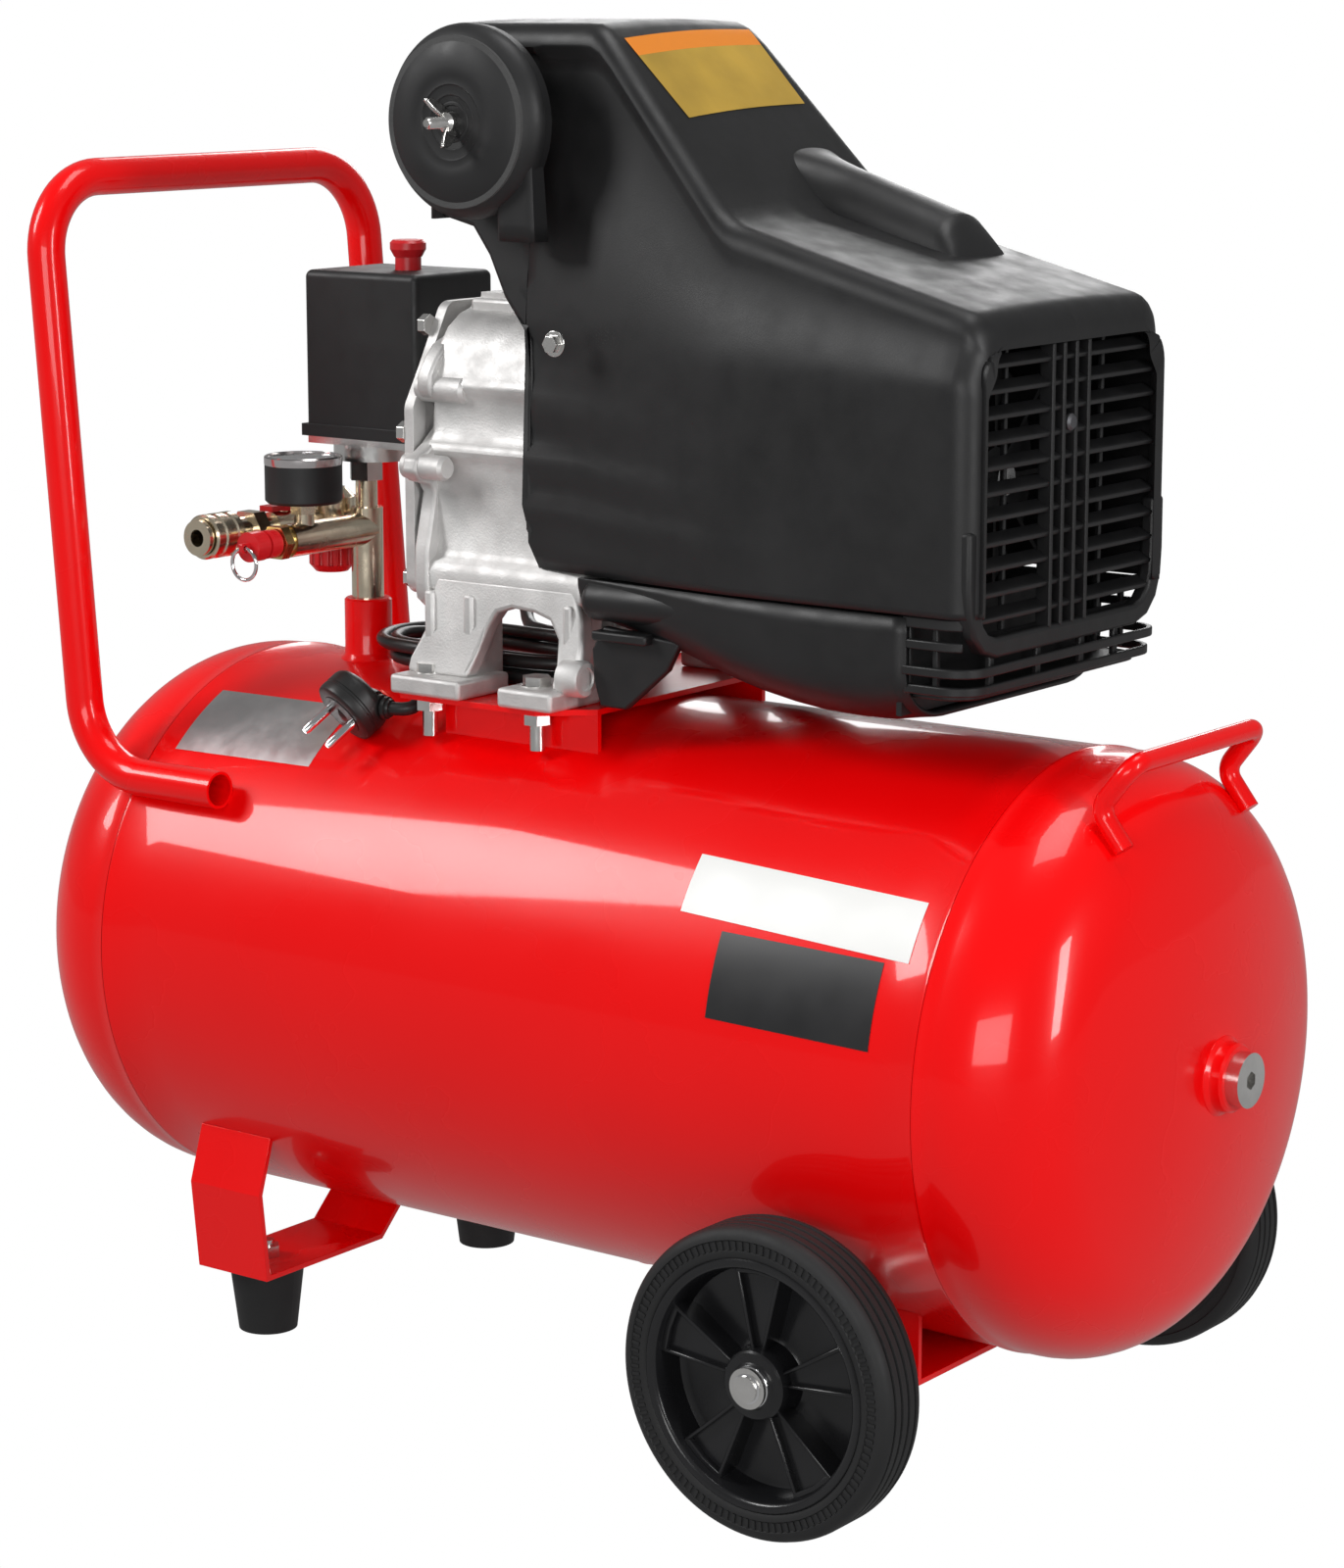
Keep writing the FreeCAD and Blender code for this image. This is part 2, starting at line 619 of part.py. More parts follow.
def make_axle_bracket():
    """The U-shaped bracket under the rear of the tank, with its two axle bolts."""
    low = "tank_axis - tank_radius - strap_thick"
    shape = extruded("YZ_Plane", [
        ("-bracket_side", low),
        ("bracket_side", low),
        ("bracket_side", low + " + 45"),
        ("bracket_side - strap_thick", low + " + 45"),
        ("bracket_side - strap_thick", low + " + strap_thick"),
        ("-bracket_side + strap_thick", low + " + strap_thick"),
        ("-bracket_side + strap_thick", low + " + 45"),
        ("-bracket_side", low + " + 45"),
    ], "axle_at - bracket_half", "2 * bracket_half")
    hole = rod("axle_radius + 0.1", "2 * bracket_side + 20", ("axle_at", "-bracket_side - 10", "wheel_radius"), "Y")
    node("axle_bracket", cut(shape, tank_body(), hole))

    pieces = []
    for sign, along in (("-", "-Y"), ("", "Y")):
        inner = "%s(bracket_side - strap_thick - 8)" % sign
        spacer_from = "%sbracket_side" % sign
        hub_end = "wheel_outer - 1 - hub_long"
        shank = rod("axle_radius", "wheel_outer - bracket_side + strap_thick + 8",
                    ("axle_at", inner, "wheel_radius"), along)
        head = rod("10", "3", ("axle_at", "%swheel_outer" % sign, "wheel_radius"), along)
        crown = rod("6.5", "5", ("axle_at", "%swheel_outer" % sign, "wheel_radius"), along)
        pieces.append(join(shank, head, crown))
        spacer = rod("10", hub_end + " - bracket_side - 0.3", ("axle_at", spacer_from, "wheel_radius"), along)
        hole = rod("axle_radius + 0.1", "200", ("axle_at", inner, "wheel_radius"), along)
        pieces.append(cut(spacer, hole))
        nut = hexagon("16", "5.5", ("axle_at", "%s(bracket_side - strap_thick - 5.5)" % sign, "wheel_radius"), along)
        nut_hole = rod("axle_radius + 0.05", "200", ("axle_at", inner, "wheel_radius"), along)
        pieces.append(cut(nut, nut_hole))
    node("axle_bolts", group(*pieces))


def make_rim():
    """A plastic rim with its axis along Z and its outer face upwards."""
    half = "wheel_wide / 2"
    inner = "rim_radius - rim_deep"
    band = turned([
        ("hub_radius", "-" + half + " + 9"),
        (inner, "-" + half + " + 3"),
        (inner, "-" + half),
        ("rim_radius", "-" + half),
        ("rim_radius", half),
        (inner, half + ""),
        (inner + " - 2", "-" + half + " + 3 + web_thick"),
        ("hub_radius", "-" + half + " + 9 + web_thick"),
    ])
    hub = rod("hub_radius", "hub_long", ("0", "0", half + " - 1 - hub_long"))
    wedge = extruded("XY_Plane", [
        ("hub_radius - 4", "-4"),
        (inner + " - 1", "-13"),
        (inner + " - 1", "13"),
        ("hub_radius - 4", "4"),
    ], "-" + half + " + 8", "wheel_wide - 13")
    back = extruded("XY_Plane", [
        ("hub_radius + 9", "-6"),
        (inner + " - 6", "-14"),
        (inner + " - 6", "14"),
        ("hub_radius + 9", "6"),
    ], "-" + half + " + 8", "7")
    spokes = around(wedge, size("spoke_count"), Vector(0, 0, 1), 18)
    backs = around(back, size("spoke_count"), Vector(0, 0, 1), 18 + 180.0 / size("spoke_count"))
    bore = rod("axle_radius + axle_play", "200", ("0", "0", "-100"))
    return cut(join(band, hub, *(spokes + backs)), bore)


def make_tyre():
    """A solid rubber tyre with round shoulders and tread grooves."""
    half = "wheel_wide / 2"
    section = [
        ("rim_radius", "-" + half),
        ("wheel_radius - 5", "-" + half),
        ("wheel_radius - 1.5", "-" + half + " + 1.8"),
        ("wheel_radius", "-" + half + " + 5"),
        ("wheel_radius", half + " - 5"),
        ("wheel_radius - 1.5", half + " - 1.8"),
        ("wheel_radius - 5", half),
        ("rim_radius", half),
    ]
    grooves = []
    for step in (-1.5, -0.5, 0.5, 1.5):
        wide = rod("wheel_radius + 1", "tread_wide", ("0", "0", "%s * 5 - tread_wide / 2" % step))
        keep = rod("wheel_radius - tread_deep", "tread_wide + 2", ("0", "0", "%s * 5 - tread_wide / 2 - 1" % step))
        grooves.append(cut(wide, keep))
    return cut(turned(section), *grooves)


def make_wheels():
    """Two wheels; each one's outer face looks away from the tank."""
    middle = "wheel_outer - wheel_wide / 2"
    for side, sign, along in (("near", "-", "-Y"), ("far", "", "Y")):
        at = ("axle_at", "%s(%s)" % (sign, middle), "wheel_radius")
        node("wheel_rim_" + side, make_rim(), at, ALONG[along])
        node("tyre_" + side, make_tyre(), at, ALONG[along])


# ------------------------------------------------------------------- handles

def make_main_handle():
    """The bent tube that the machine is pulled by, with open ends."""
    side = size("handle_side")
    reach = size("tank_radius") + size("handle_tube")
    rest = size("tank_axis") + math.sqrt(reach ** 2 - side ** 2)
    start, knee, lean = size("handle_start"), size("handle_knee"), size("handle_lean")
    half = [Vector(start, -side, rest), Vector(knee, -side, rest), Vector(lean, -side, size("handle_top"))]
    path = half + [Vector(corner.x, -corner.y, corner.z) for corner in reversed(half)]
    radii = [size("handle_bend")] * 4
    outer = bent_rod(path, radii, size("handle_tube"))
    inner = bent_rod(path, radii, size("handle_tube") - size("handle_wall"))
    node("main_handle", still(outer.cut(inner), "Handle_tube"))


def make_grab_handle():
    """The bent rod on the rear head, which the machine is lifted by."""
    side = size("grab_side")
    half = [
        Vector(size("grab_foot_at"), -side, size("grab_foot_high")),
        Vector(size("grab_knee_at"), -side, size("grab_knee_high")),
        Vector(size("grab_top_at"), -side, size("grab_top_high")),
    ]
    path = half + [Vector(corner.x, -corner.y, corner.z) for corner in reversed(half)]
    rod_shape = bent_rod(path, [9, 9, 9, 9], size("grab_rod"))
    outer, inner = head_shell()
    place(outer, ("0", "0", "tank_axis"), ALONG["X"])
    node("grab_handle", cut(still(rod_shape, "Grab_rod"), outer))


# ---------------------------------------------------------------------- pump

def make_base_plate():
    """The channel welded to the tank that carries the pump."""
    top = extruded("XY_Plane", [
        ("plate_front", "-plate_side"),
        ("plate_back - 24", "-plate_side"),
        ("plate_back", "-skirt_side"),
        ("plate_back", "skirt_side"),
        ("plate_back - 24", "plate_side"),
        ("plate_front", "plate_side"),
    ], "plate_low", "plate_thick")
    long = "plate_back - skirt_front"
    skirts = [
        block(long, "strap_thick", "plate_low - tank_axis", ("skirt_front", "-skirt_side", "tank_axis")),
        block(long, "strap_thick", "plate_low - tank_axis", ("skirt_front", "skirt_side - strap_thick", "tank_axis")),
    ]
    holes = [rod("bolt_radius + bolt_play", "20", (along, side, "plate_low - 5"))
             for along in ("bolt_front", "bolt_back") for side in ("bolt_side", "-bolt_side")]
    node("pump_base_plate", cut(join(top, *skirts), tank_body(), *holes))


def case_section(front, long, out="0"):
    """The crankcase's outside as a prism along X."""
    return extruded("YZ_Plane", [
        ("-case_side", "case_floor"),
        ("case_side", "case_floor"),
        ("case_side + %s" % out, "crank_height + 22"),
        ("case_side - 12", "crank_height + 42"),
        ("case_side - 30", "case_deck"),
        ("-case_side + 30", "case_deck"),
        ("-case_side + 12", "crank_height + 42"),
        ("-case_side - %s" % out, "crank_height + 22"),
    ], front, long)


def make_crankcase():
    """The cast crankcase with its four legs and feet."""
    shell = rounded(case_section("case_front", "case_back - case_front"), 9,
                    lambda edge: len(edge.Vertexes) == 2 and edge.Length > 100
                    and abs(edge.tangentAt(edge.FirstParameter).x) > 0.99)
    floor_drop = "case_floor - plate_low - plate_thick"
    legs = []
    for along, lean in (("bolt_front", "-"), ("bolt_back", "")):
        for side in ("", "-"):
            legs.append(block("24", "41", "pad_thick",
                              ("%s - 12" % along, "%s(57 + 20.5) - 20.5" % side, "plate_low + plate_thick")))
            wide = block("15", "18", floor_drop + " + 4",
                         ("%s %s 4.5 - 7.5" % (along, "-" if lean else "+"), "%s(case_side - 11) - 9" % side,
                          "plate_low + plate_thick"))
            legs.append(wide)
    lugs = [rod("8", "30", ("case_front", "case_side - 4", "crank_height + 8"), "X"),
            rod("8", "30", ("case_front", "-case_side + 4", "crank_height + 8"), "X"),
            rod("8", "30", ("case_front", "-case_side + 22", "case_deck - 12"), "X"),
            rod("8", "30", ("case_front", "case_side - 22", "case_deck - 12"), "X"),
            rod("8", "30", ("case_front", "-case_side + 8", "case_floor + 8"), "X"),
            rod("8", "30", ("case_front", "case_side - 8", "case_floor + 8"), "X")]
    ribs = []
    for high in ("case_floor + 16", "crank_height - 8", "crank_height + 4"):
        ribs.append(rod("2.4", "case_back - case_front - 10", ("case_front + 10", "-case_side", high), "X"))
        ribs.append(rod("2.4", "case_back - case_front - 10", ("case_front + 10", "case_side", high), "X"))
    cavity = rod("case_cavity", "case_back - case_front - case_wall", ("case_front", "0", "crank_height"), "X")
    seat = rod("bearing_radius", "bearing_wide", ("case_back - bearing_wide", "0", "crank_height"), "X")
    shaft_way = rod("shaft_radius + 2", "60", ("case_back - 50", "0", "crank_height"), "X")
    deck_hole = rod("bore_radius + 2.5", "200", ("pump_at", "0", "crank_height"))
    holes = [rod("bolt_radius + bolt_play", "40", (along, side, "plate_low"))
             for along in ("bolt_front", "bolt_back") for side in ("bolt_side", "-bolt_side")]
    node("crankcase", cut(join(shell, *(legs + lugs + ribs)), cavity, seat, shaft_way, deck_hole, *holes))


def make_crankcase_cover():
    """The front cover of the crankcase, dished over the crank."""
    flange = rounded(case_section("case_front - 6", "6"), 9,
                     lambda edge: len(edge.Vertexes) == 2 and 5 < edge.Length < 7
                     and abs(edge.tangentAt(edge.FirstParameter).x) > 0.99)
    dome = taper("case_cavity + 6", "case_cavity - 8", "cover_deep - 6", ("case_front - 6", "0", "crank_height"), "-X")
    boss = rod("20", "1.2", ("case_front - cover_deep", "0", "crank_height"), "-X")
    hollow = rod("case_cavity - 12", "cover_deep - 5", ("case_front", "0", "crank_height"), "-X")
    filler = rod("9", "14", ("case_front - cover_deep + 10", "26", "crank_height + 34"), "-X")
    sight = rod("12", "4", ("case_front - cover_deep", "0", "crank_height - 36"), "-X")
    node("crankcase_cover", cut(join(flange, dome, boss, filler, sight), hollow))


def make_case_screws():
    """The M6 screws of the cover, the cylinder head and the shroud."""
    pieces = []
    for side in ("case_side - 4", "-case_side + 4"):
        pieces.append(hexagon("10", "5", ("case_front - 6", side, "crank_height + 8"), "-X"))
    for side in ("-case_side + 22", "case_side - 22"):
        pieces.append(hexagon("10", "5", ("case_front - 6", side, "case_deck - 12"), "-X"))
    for side in ("-case_side + 8", "case_side - 8"):
        pieces.append(hexagon("10", "5", ("case_front - 6", side, "case_floor + 8"), "-X"))
    top = "case_deck + cylinder_tall + head_tall"
    for along in ("-", ""):
        for side in ("-", ""):
            pieces.append(hexagon("10", "6", ("pump_at + %s(head_half - 8)" % along, "%s(head_half - 8)" % side, top)))
    for side, along in (("-", "-Y"), ("", "Y")):
        washer = rod("6.5", "1.2", ("shroud_front + 34", "%s(shroud_side)" % side, "slope_foot - 61"), along)
        head = hexagon("8", "5", ("shroud_front + 34", "%s(shroud_side)" % side, "slope_foot - 61"), along)
        pieces.append(join(washer, head))
    node("case_screws", group(*pieces))


def make_cylinder():
    """The finned cylinder and its head."""
    top = "case_deck + cylinder_tall"
    barrel = rod("bore_radius + cylinder_wall", "cylinder_tall", ("pump_at", "0", "case_deck"))
    foot = block("2 * head_half", "2 * head_half", "5", ("pump_at - head_half", "-head_half", "case_deck"))
    pieces = [barrel, foot]
    for step in range(int(size("fin_count"))):
        high = "case_deck + 12 + %d * (cylinder_tall - 20) / (fin_count - 1)" % step
        pieces.append(rod("bore_radius + cylinder_wall + fin_reach", "2", ("pump_at", "0", high)))
    flange = block("2 * head_half", "2 * head_half", "5", ("pump_at - head_half", "-head_half", top + " - 5"))
    bore = rod("bore_radius", "cylinder_tall + 2", ("pump_at", "0", "case_deck - 1"))
    node("cylinder", cut(join(*(pieces + [flange])), bore))

    head = block("2 * head_half", "2 * head_half", "head_tall", ("pump_at - head_half", "-head_half", top))
    intake = rod("11", "-filter_back - head_half", ("pump_at", "-head_half", "filter_height"), "-Y")
    outlet = rod("9", "12", ("pump_at - 14", "head_half", "filter_height"), "Y")
    grooves = []
    for step in range(4):
        across = "-head_half + 9 + %d * 16" % step
        grooves.append(block("2 * head_half + 2", "5", "10",
                             ("pump_at - head_half - 1", across + " + 2", top + " + head_tall - 9")))
    port = rod("7", "-filter_back", ("pump_at", "-10", "filter_height"), "-Y")
    way_out = rod("4.2", "60", ("pump_at - 14", "10", "filter_height"), "Y")
    down = rod("7", "filter_height - case_deck - cylinder_tall + 1", ("pump_at", "-18", top + " - 1"))
    down_out = rod("4.2", "filter_height - case_deck - cylinder_tall + 1", ("pump_at - 14", "14", top + " - 1"))
    node("cylinder_head", cut(join(head, intake, outlet), *(grooves + [port, way_out, down, down_out])))


def make_crank_train():
    """Crank web with its pin, connecting rod, wrist pin and piston, at top dead centre."""
    pin_high = "crank_height + throw"
    web_from = "pump_at + rod_thick / 2 + 2.5"
    web = "13"
    hub = rod("18", web, (web_from, "0", "crank_height"), "X")
    arm = block(web, "26", "throw", (web_from, "-13", "crank_height"))
    top = rod("13", web, (web_from, "0", pin_high), "X")
    weight = rod("36", web, (web_from, "0", "crank_height"), "X")
    keep = block(web, "64", "30", (web_from, "-32", "crank_height - 36"))
    pin = rod("crank_pin", "rod_thick + 4", (web_from, "0", pin_high), "-X")
    bore = rod("shaft_radius + shaft_play", "40", (web_from + " - 1", "0", "crank_height"), "X")
    node("crank_eccentric", cut(join(hub, arm, top, shared(weight, keep), pin), bore))

    wrist = pin_high + " + rod_length"
    start = "pump_at - rod_thick / 2"
    big = rod("crank_pin + 6", "rod_thick", (start, "0", pin_high), "X")
    small = rod("pin_radius + 4", "rod_thick", (start, "0", wrist), "X")
    shank = block("rod_thick - 6", "12", "rod_length", (start + " + 3", "-6", pin_high))
    big_hole = rod("crank_pin + 0.05", "rod_thick + 2", (start + " - 1", "0", pin_high), "X")
    small_hole = rod("pin_radius + 0.05", "rod_thick + 2", (start + " - 1", "0", wrist), "X")
    node("connecting_rod", cut(join(big, small, shank), big_hole, small_hole))

    node("wrist_pin", rod("pin_radius", "wrist_pin_long", ("0", "0", "0")),
         ("pump_at - wrist_pin_long / 2", "0", wrist), ALONG["X"])

    crown = wrist + " + 17"
    outer = rod("bore_radius - piston_play", "piston_tall", ("pump_at", "0", crown + " - piston_tall"))
    inside = rod("bore_radius - 5", "piston_tall - 5", ("pump_at", "0", crown + " - piston_tall - 1"))
    hole = rod("pin_radius + 0.05", "80", ("pump_at - 40", "0", wrist), "X")
    grooves = []
    for step in (1, 2, 3):
        wide = rod("bore_radius + 1", "1.5", ("pump_at", "0", crown + " - %d * 3.5 - 1" % step))
        keep_in = rod("bore_radius - 1.5", "4", ("pump_at", "0", crown + " - %d * 3.5 - 2" % step))
        grooves.append(cut(wide, keep_in))
    node("piston", cut(outer, inside, hole, *grooves))


# --------------------------------------------------------------------- motor

def make_motor():
    """Stator, end bell, bearings, rotor on its shaft and the fan."""
    stack = rod("stator_radius", "stator_long", ("stator_from", "0", "crank_height"), "X")
    coils = rod("stator_radius - 12", "stator_long + 24", ("stator_from - 12", "0", "crank_height"), "X")
    hole = rod("rotor_radius + air_gap", "stator_long + 60", ("stator_from - 30", "0", "crank_height"), "X")
    spider = rod("stator_radius - 14", "stator_from - case_back - 12", ("case_back", "0", "crank_height"), "X")
    spider_in = rod("stator_radius - 17", "stator_from - case_back", ("case_back", "0", "crank_height"), "X")
    node("motor_stator", cut(join(stack, coils, cut(spider, spider_in)), hole))

    disc = rod("stator_radius - 4", "5", ("bell_from", "0", "crank_height"), "X")
    hub = rod("bearing_radius + 5", "bearing_wide + 4", ("bell_from", "0", "crank_height"), "X")
    lip = rod("stator_radius - 4", "bell_from - stator_from - stator_long",
              ("stator_from + stator_long", "0", "crank_height"), "X")
    lip_in = rod("stator_radius - 8", "bell_from - stator_from - stator_long",
                 ("stator_from + stator_long", "0", "crank_height"), "X")
    seat = rod("bearing_radius", "bearing_wide", ("bell_from + 2", "0", "crank_height"), "X")
    way = rod("shaft_radius + 2", "60", ("bell_from - 20", "0", "crank_height"), "X")
    vents = around(rod("7", "60", ("0", "38", "0"), "X"), 8, Vector(1, 0, 0))
    vent_set = place(group(*vents), ("bell_from - 20", "0", "crank_height"))
    node("motor_end_bell", cut(join(disc, hub, cut(lip, lip_in)), seat, way, vent_set))

    races = []
    for start in ("case_back - bearing_wide", "bell_from + 2"):
        outer = rod("bearing_radius", "bearing_wide", (start, "0", "crank_height"), "X")
        inner = rod("shaft_radius + shaft_play", "bearing_wide + 2", (start + " - 1", "0", "crank_height"), "X")
        races.append(cut(outer, inner))
    node("motor_bearings", group(*races))

    web_from = "(pump_at + rod_thick / 2 + 2.5)"
    shaft = rod("shaft_radius", "fan_from + fan_wide + 6 - " + web_from, ("0", "0", "0"), "X")
    iron = rod("rotor_radius", "stator_long - 4", ("stator_from + 2 - " + web_from, "0", "0"), "X")
    end = rod("rotor_radius - 6", "stator_long + 8", ("stator_from - 4 - " + web_from, "0", "0"), "X")
    node("rotor_shaft", join(shaft, iron, end), (web_from + " + 0.5", "0", "crank_height"))

    hub = rod("15", "fan_wide", ("0", "0", "0"), "X")
    disc = rod("fan_radius", "2", ("0", "0", "0"), "X")
    blade = block("fan_wide - 1", "2.4", "fan_radius - 14", ("1", "-1.2", "12"))
    blades = around(blade, size("fan_blades"), Vector(1, 0, 0))
    bore = rod("shaft_radius", "60", ("-20", "0", "0"), "X")
    node("cooling_fan", cut(join(hub, disc, *blades), bore), ("fan_from", "0", "crank_height"))


def make_capacitor():
    """The motor's run capacitor, under the shroud."""
    can = rod("18", "62", ("stator_from - 20", "20", "crank_height + stator_radius + 22"), "X")
    terminals = rod("9", "8", ("stator_from - 28", "20", "crank_height + stator_radius + 22"), "X")
    node("run_capacitor", join(can, terminals))


# -------------------------------------------------------------------- shroud

def shroud_side_view(inset, low):
    """Corners of the shroud seen from the side, drawn in by an inset."""
    return [
        ("shroud_front", low),
        ("shroud_end - %s" % inset, low),
        ("shroud_end - %s" % inset, "shroud_end_top - 8 - %s" % inset),
        ("shroud_end - 8 - %s" % inset, "shroud_end_top - %s" % inset),
        ("slope_to - %s * 0.4" % inset, "slope_foot - %s" % inset),
        ("slope_from - %s * 0.4" % inset, "shroud_top - %s" % inset),
        ("shroud_head_front + 12 + %s" % inset, "shroud_top - %s" % inset),
        ("shroud_head_front + %s" % inset, "shroud_top - 14 - %s" % inset),
        ("shroud_head_front + %s" % inset, "slope_foot - 4"),
        ("shroud_front", "slope_foot - 48"),
    ]


def shroud_front_view(inset, low):
    """Corners of the shroud seen from its end."""
    return [
        ("-shroud_side + %s" % inset, low),
        ("shroud_side - %s" % inset, low),
        ("shroud_side - %s" % inset, "shroud_end_top - 24"),
        ("shroud_top_side + 8 - %s" % inset, "slope_foot"),
        ("shroud_top_side - %s" % inset, "shroud_top - 12"),
        ("shroud_top_side - 14", "shroud_top - %s" % inset),
        ("-shroud_top_side + 14", "shroud_top - %s" % inset),
        ("-shroud_top_side + %s" % inset, "shroud_top - 12"),
        ("-shroud_top_side - 8 + %s" % inset, "slope_foot"),
        ("-shroud_side + %s" % inset, "shroud_end_top - 24"),
    ]


def make_shroud():
    """The moulded cover over cylinder, motor and fan, with its grille."""
    wall = "shroud_wall"
    outer = shared(
        extruded("XZ_Plane", shroud_side_view("0", "tray_top"), "-shroud_side - 2", "2 * shroud_side + 4"),
        extruded("YZ_Plane", shroud_front_view("0", "tray_top"), "shroud_head_front - 2",
                 "shroud_end - shroud_head_front + 4"))
    inner = shared(
        extruded("XZ_Plane", shroud_side_view(wall, "tray_top - 1"), "-shroud_side - 2", "2 * shroud_side + 4"),
        extruded("YZ_Plane", shroud_front_view(wall, "tray_top - 1"), "shroud_head_front - 2",
                 "shroud_end - shroud_head_front + 4"))
    front_open = block("20", "2 * case_side + 8", "slope_foot - tray_top - 40",
                       ("shroud_front - 8", "-case_side - 4", "tray_top - 2"))
    head_open = block("-shroud_head_front + shroud_front + 2", "2 * head_half + 30", "60",
                      ("shroud_head_front - 1", "-head_half - 15", "slope_foot - 58"))
    intake = rod("12", "40", ("pump_at", "-shroud_top_side + 20", "filter_height"), "-Y")
    louvres = []
    steps = int((size("grille_high") - size("tray_top")) / size("louvre_pitch"))
    for step in range(steps):
        high = "grille_high - louvre_gap - %d * louvre_pitch" % step
        for side in ("-grille_half + 3", "4"):
            louvres.append(block("30", "grille_half - 7", "louvre_gap", ("shroud_end - 15", side, high)))
    outlet = rod("8", "60", ("pump_at - 14", "shroud_top_side - 30", "filter_height"), "Y")
    node("shroud", cut(outer, inner, front_open, head_open, intake, outlet, *louvres))


def make_tray():
    """The lower tray that closes the shroud under the motor."""
    def side_view(inset):
        return [
            ("tray_from", "tray_top"),
            ("tray_from", "tray_top - 20 + %s" % inset),
            ("tray_step", "tray_top - 20 + %s" % inset),
            ("tray_step + 12", "tray_low + 8 + %s" % inset),
            ("tray_belly", "tray_low + %s" % inset),
            ("shroud_end - 16 - %s" % inset, "tray_low + 14 + %s" % inset),
            ("shroud_end - %s" % inset, "tray_top - 24 + %s" % inset),
            ("shroud_end - %s" % inset, "tray_top"),
        ]

    def front_view(inset):
        return [
            ("-shroud_side + %s" % inset, "tray_top"),
            ("-shroud_side + %s" % inset, "tray_top - 14 + %s" % inset),
            ("-shroud_side + 14 + %s" % inset, "tray_top - 30 + %s" % inset),
            ("-shroud_side + 44", "tray_low + %s" % inset),
            ("shroud_side - 44", "tray_low + %s" % inset),
            ("shroud_side - 14 - %s" % inset, "tray_top - 30 + %s" % inset),
            ("shroud_side - %s" % inset, "tray_top - 14 + %s" % inset),
            ("shroud_side - %s" % inset, "tray_top"),
        ]

    wall = "shroud_wall"
    outer = shared(extruded("XZ_Plane", side_view("0"), "-shroud_side - 2", "2 * shroud_side + 4"),
                   extruded("YZ_Plane", front_view("0"), "0", "shroud_end + 4"))
    inner = shared(extruded("XZ_Plane", side_view(wall), "-shroud_side - 2", "2 * shroud_side + 4"),
                   extruded("YZ_Plane", front_view(wall), "0", "shroud_end + 4"))
    rails = []
    for side in ("-", ""):
        rails.append(rod("rail_radius", "rail_long",
                         ("tray_from + 2", "%s(shroud_side - rail_radius - 1)" % side, "tray_top - rail_radius"), "X"))
        rails.append(rod("rail_radius + 2", "rail_long",
                         ("tray_from + 2", "%s(shroud_side - rail_radius - 6)" % side, "tray_top - 25"), "X"))
    gussets = []
    for across in ("-78", "60"):
        gussets.append(extruded("XZ_Plane", [
            ("plate_back - 1", "plate_low + plate_thick + 0.2"),
            ("plate_back + 3", "plate_low + plate_thick + 0.2"),
            ("plate_back + 5", "tray_top - 50"),
            ("plate_back + 28", "tray_top - 31"),
            ("plate_back + 28", "tray_top - 19"),
            ("plate_back - 1", "tray_top - 19"),
        ], across, "18"))
    slots = []
    for step in range(2):
        high = "tray_top - 12 - %d * 8" % step
        slots.append(block("20", "2 * grille_half", "4", ("shroud_end - 10", "-grille_half", high)))
        for notch in range(4):
            slots.append(block("8", "2 * shroud_side + 10", "4",
                               ("shroud_end - 46 + %d * 11" % notch, "-shroud_side - 5", high)))
    node("shroud_tray", cut(join(outer, *(rails + gussets)), inner, *slots))


# -------------------------------------------------------------------- filter

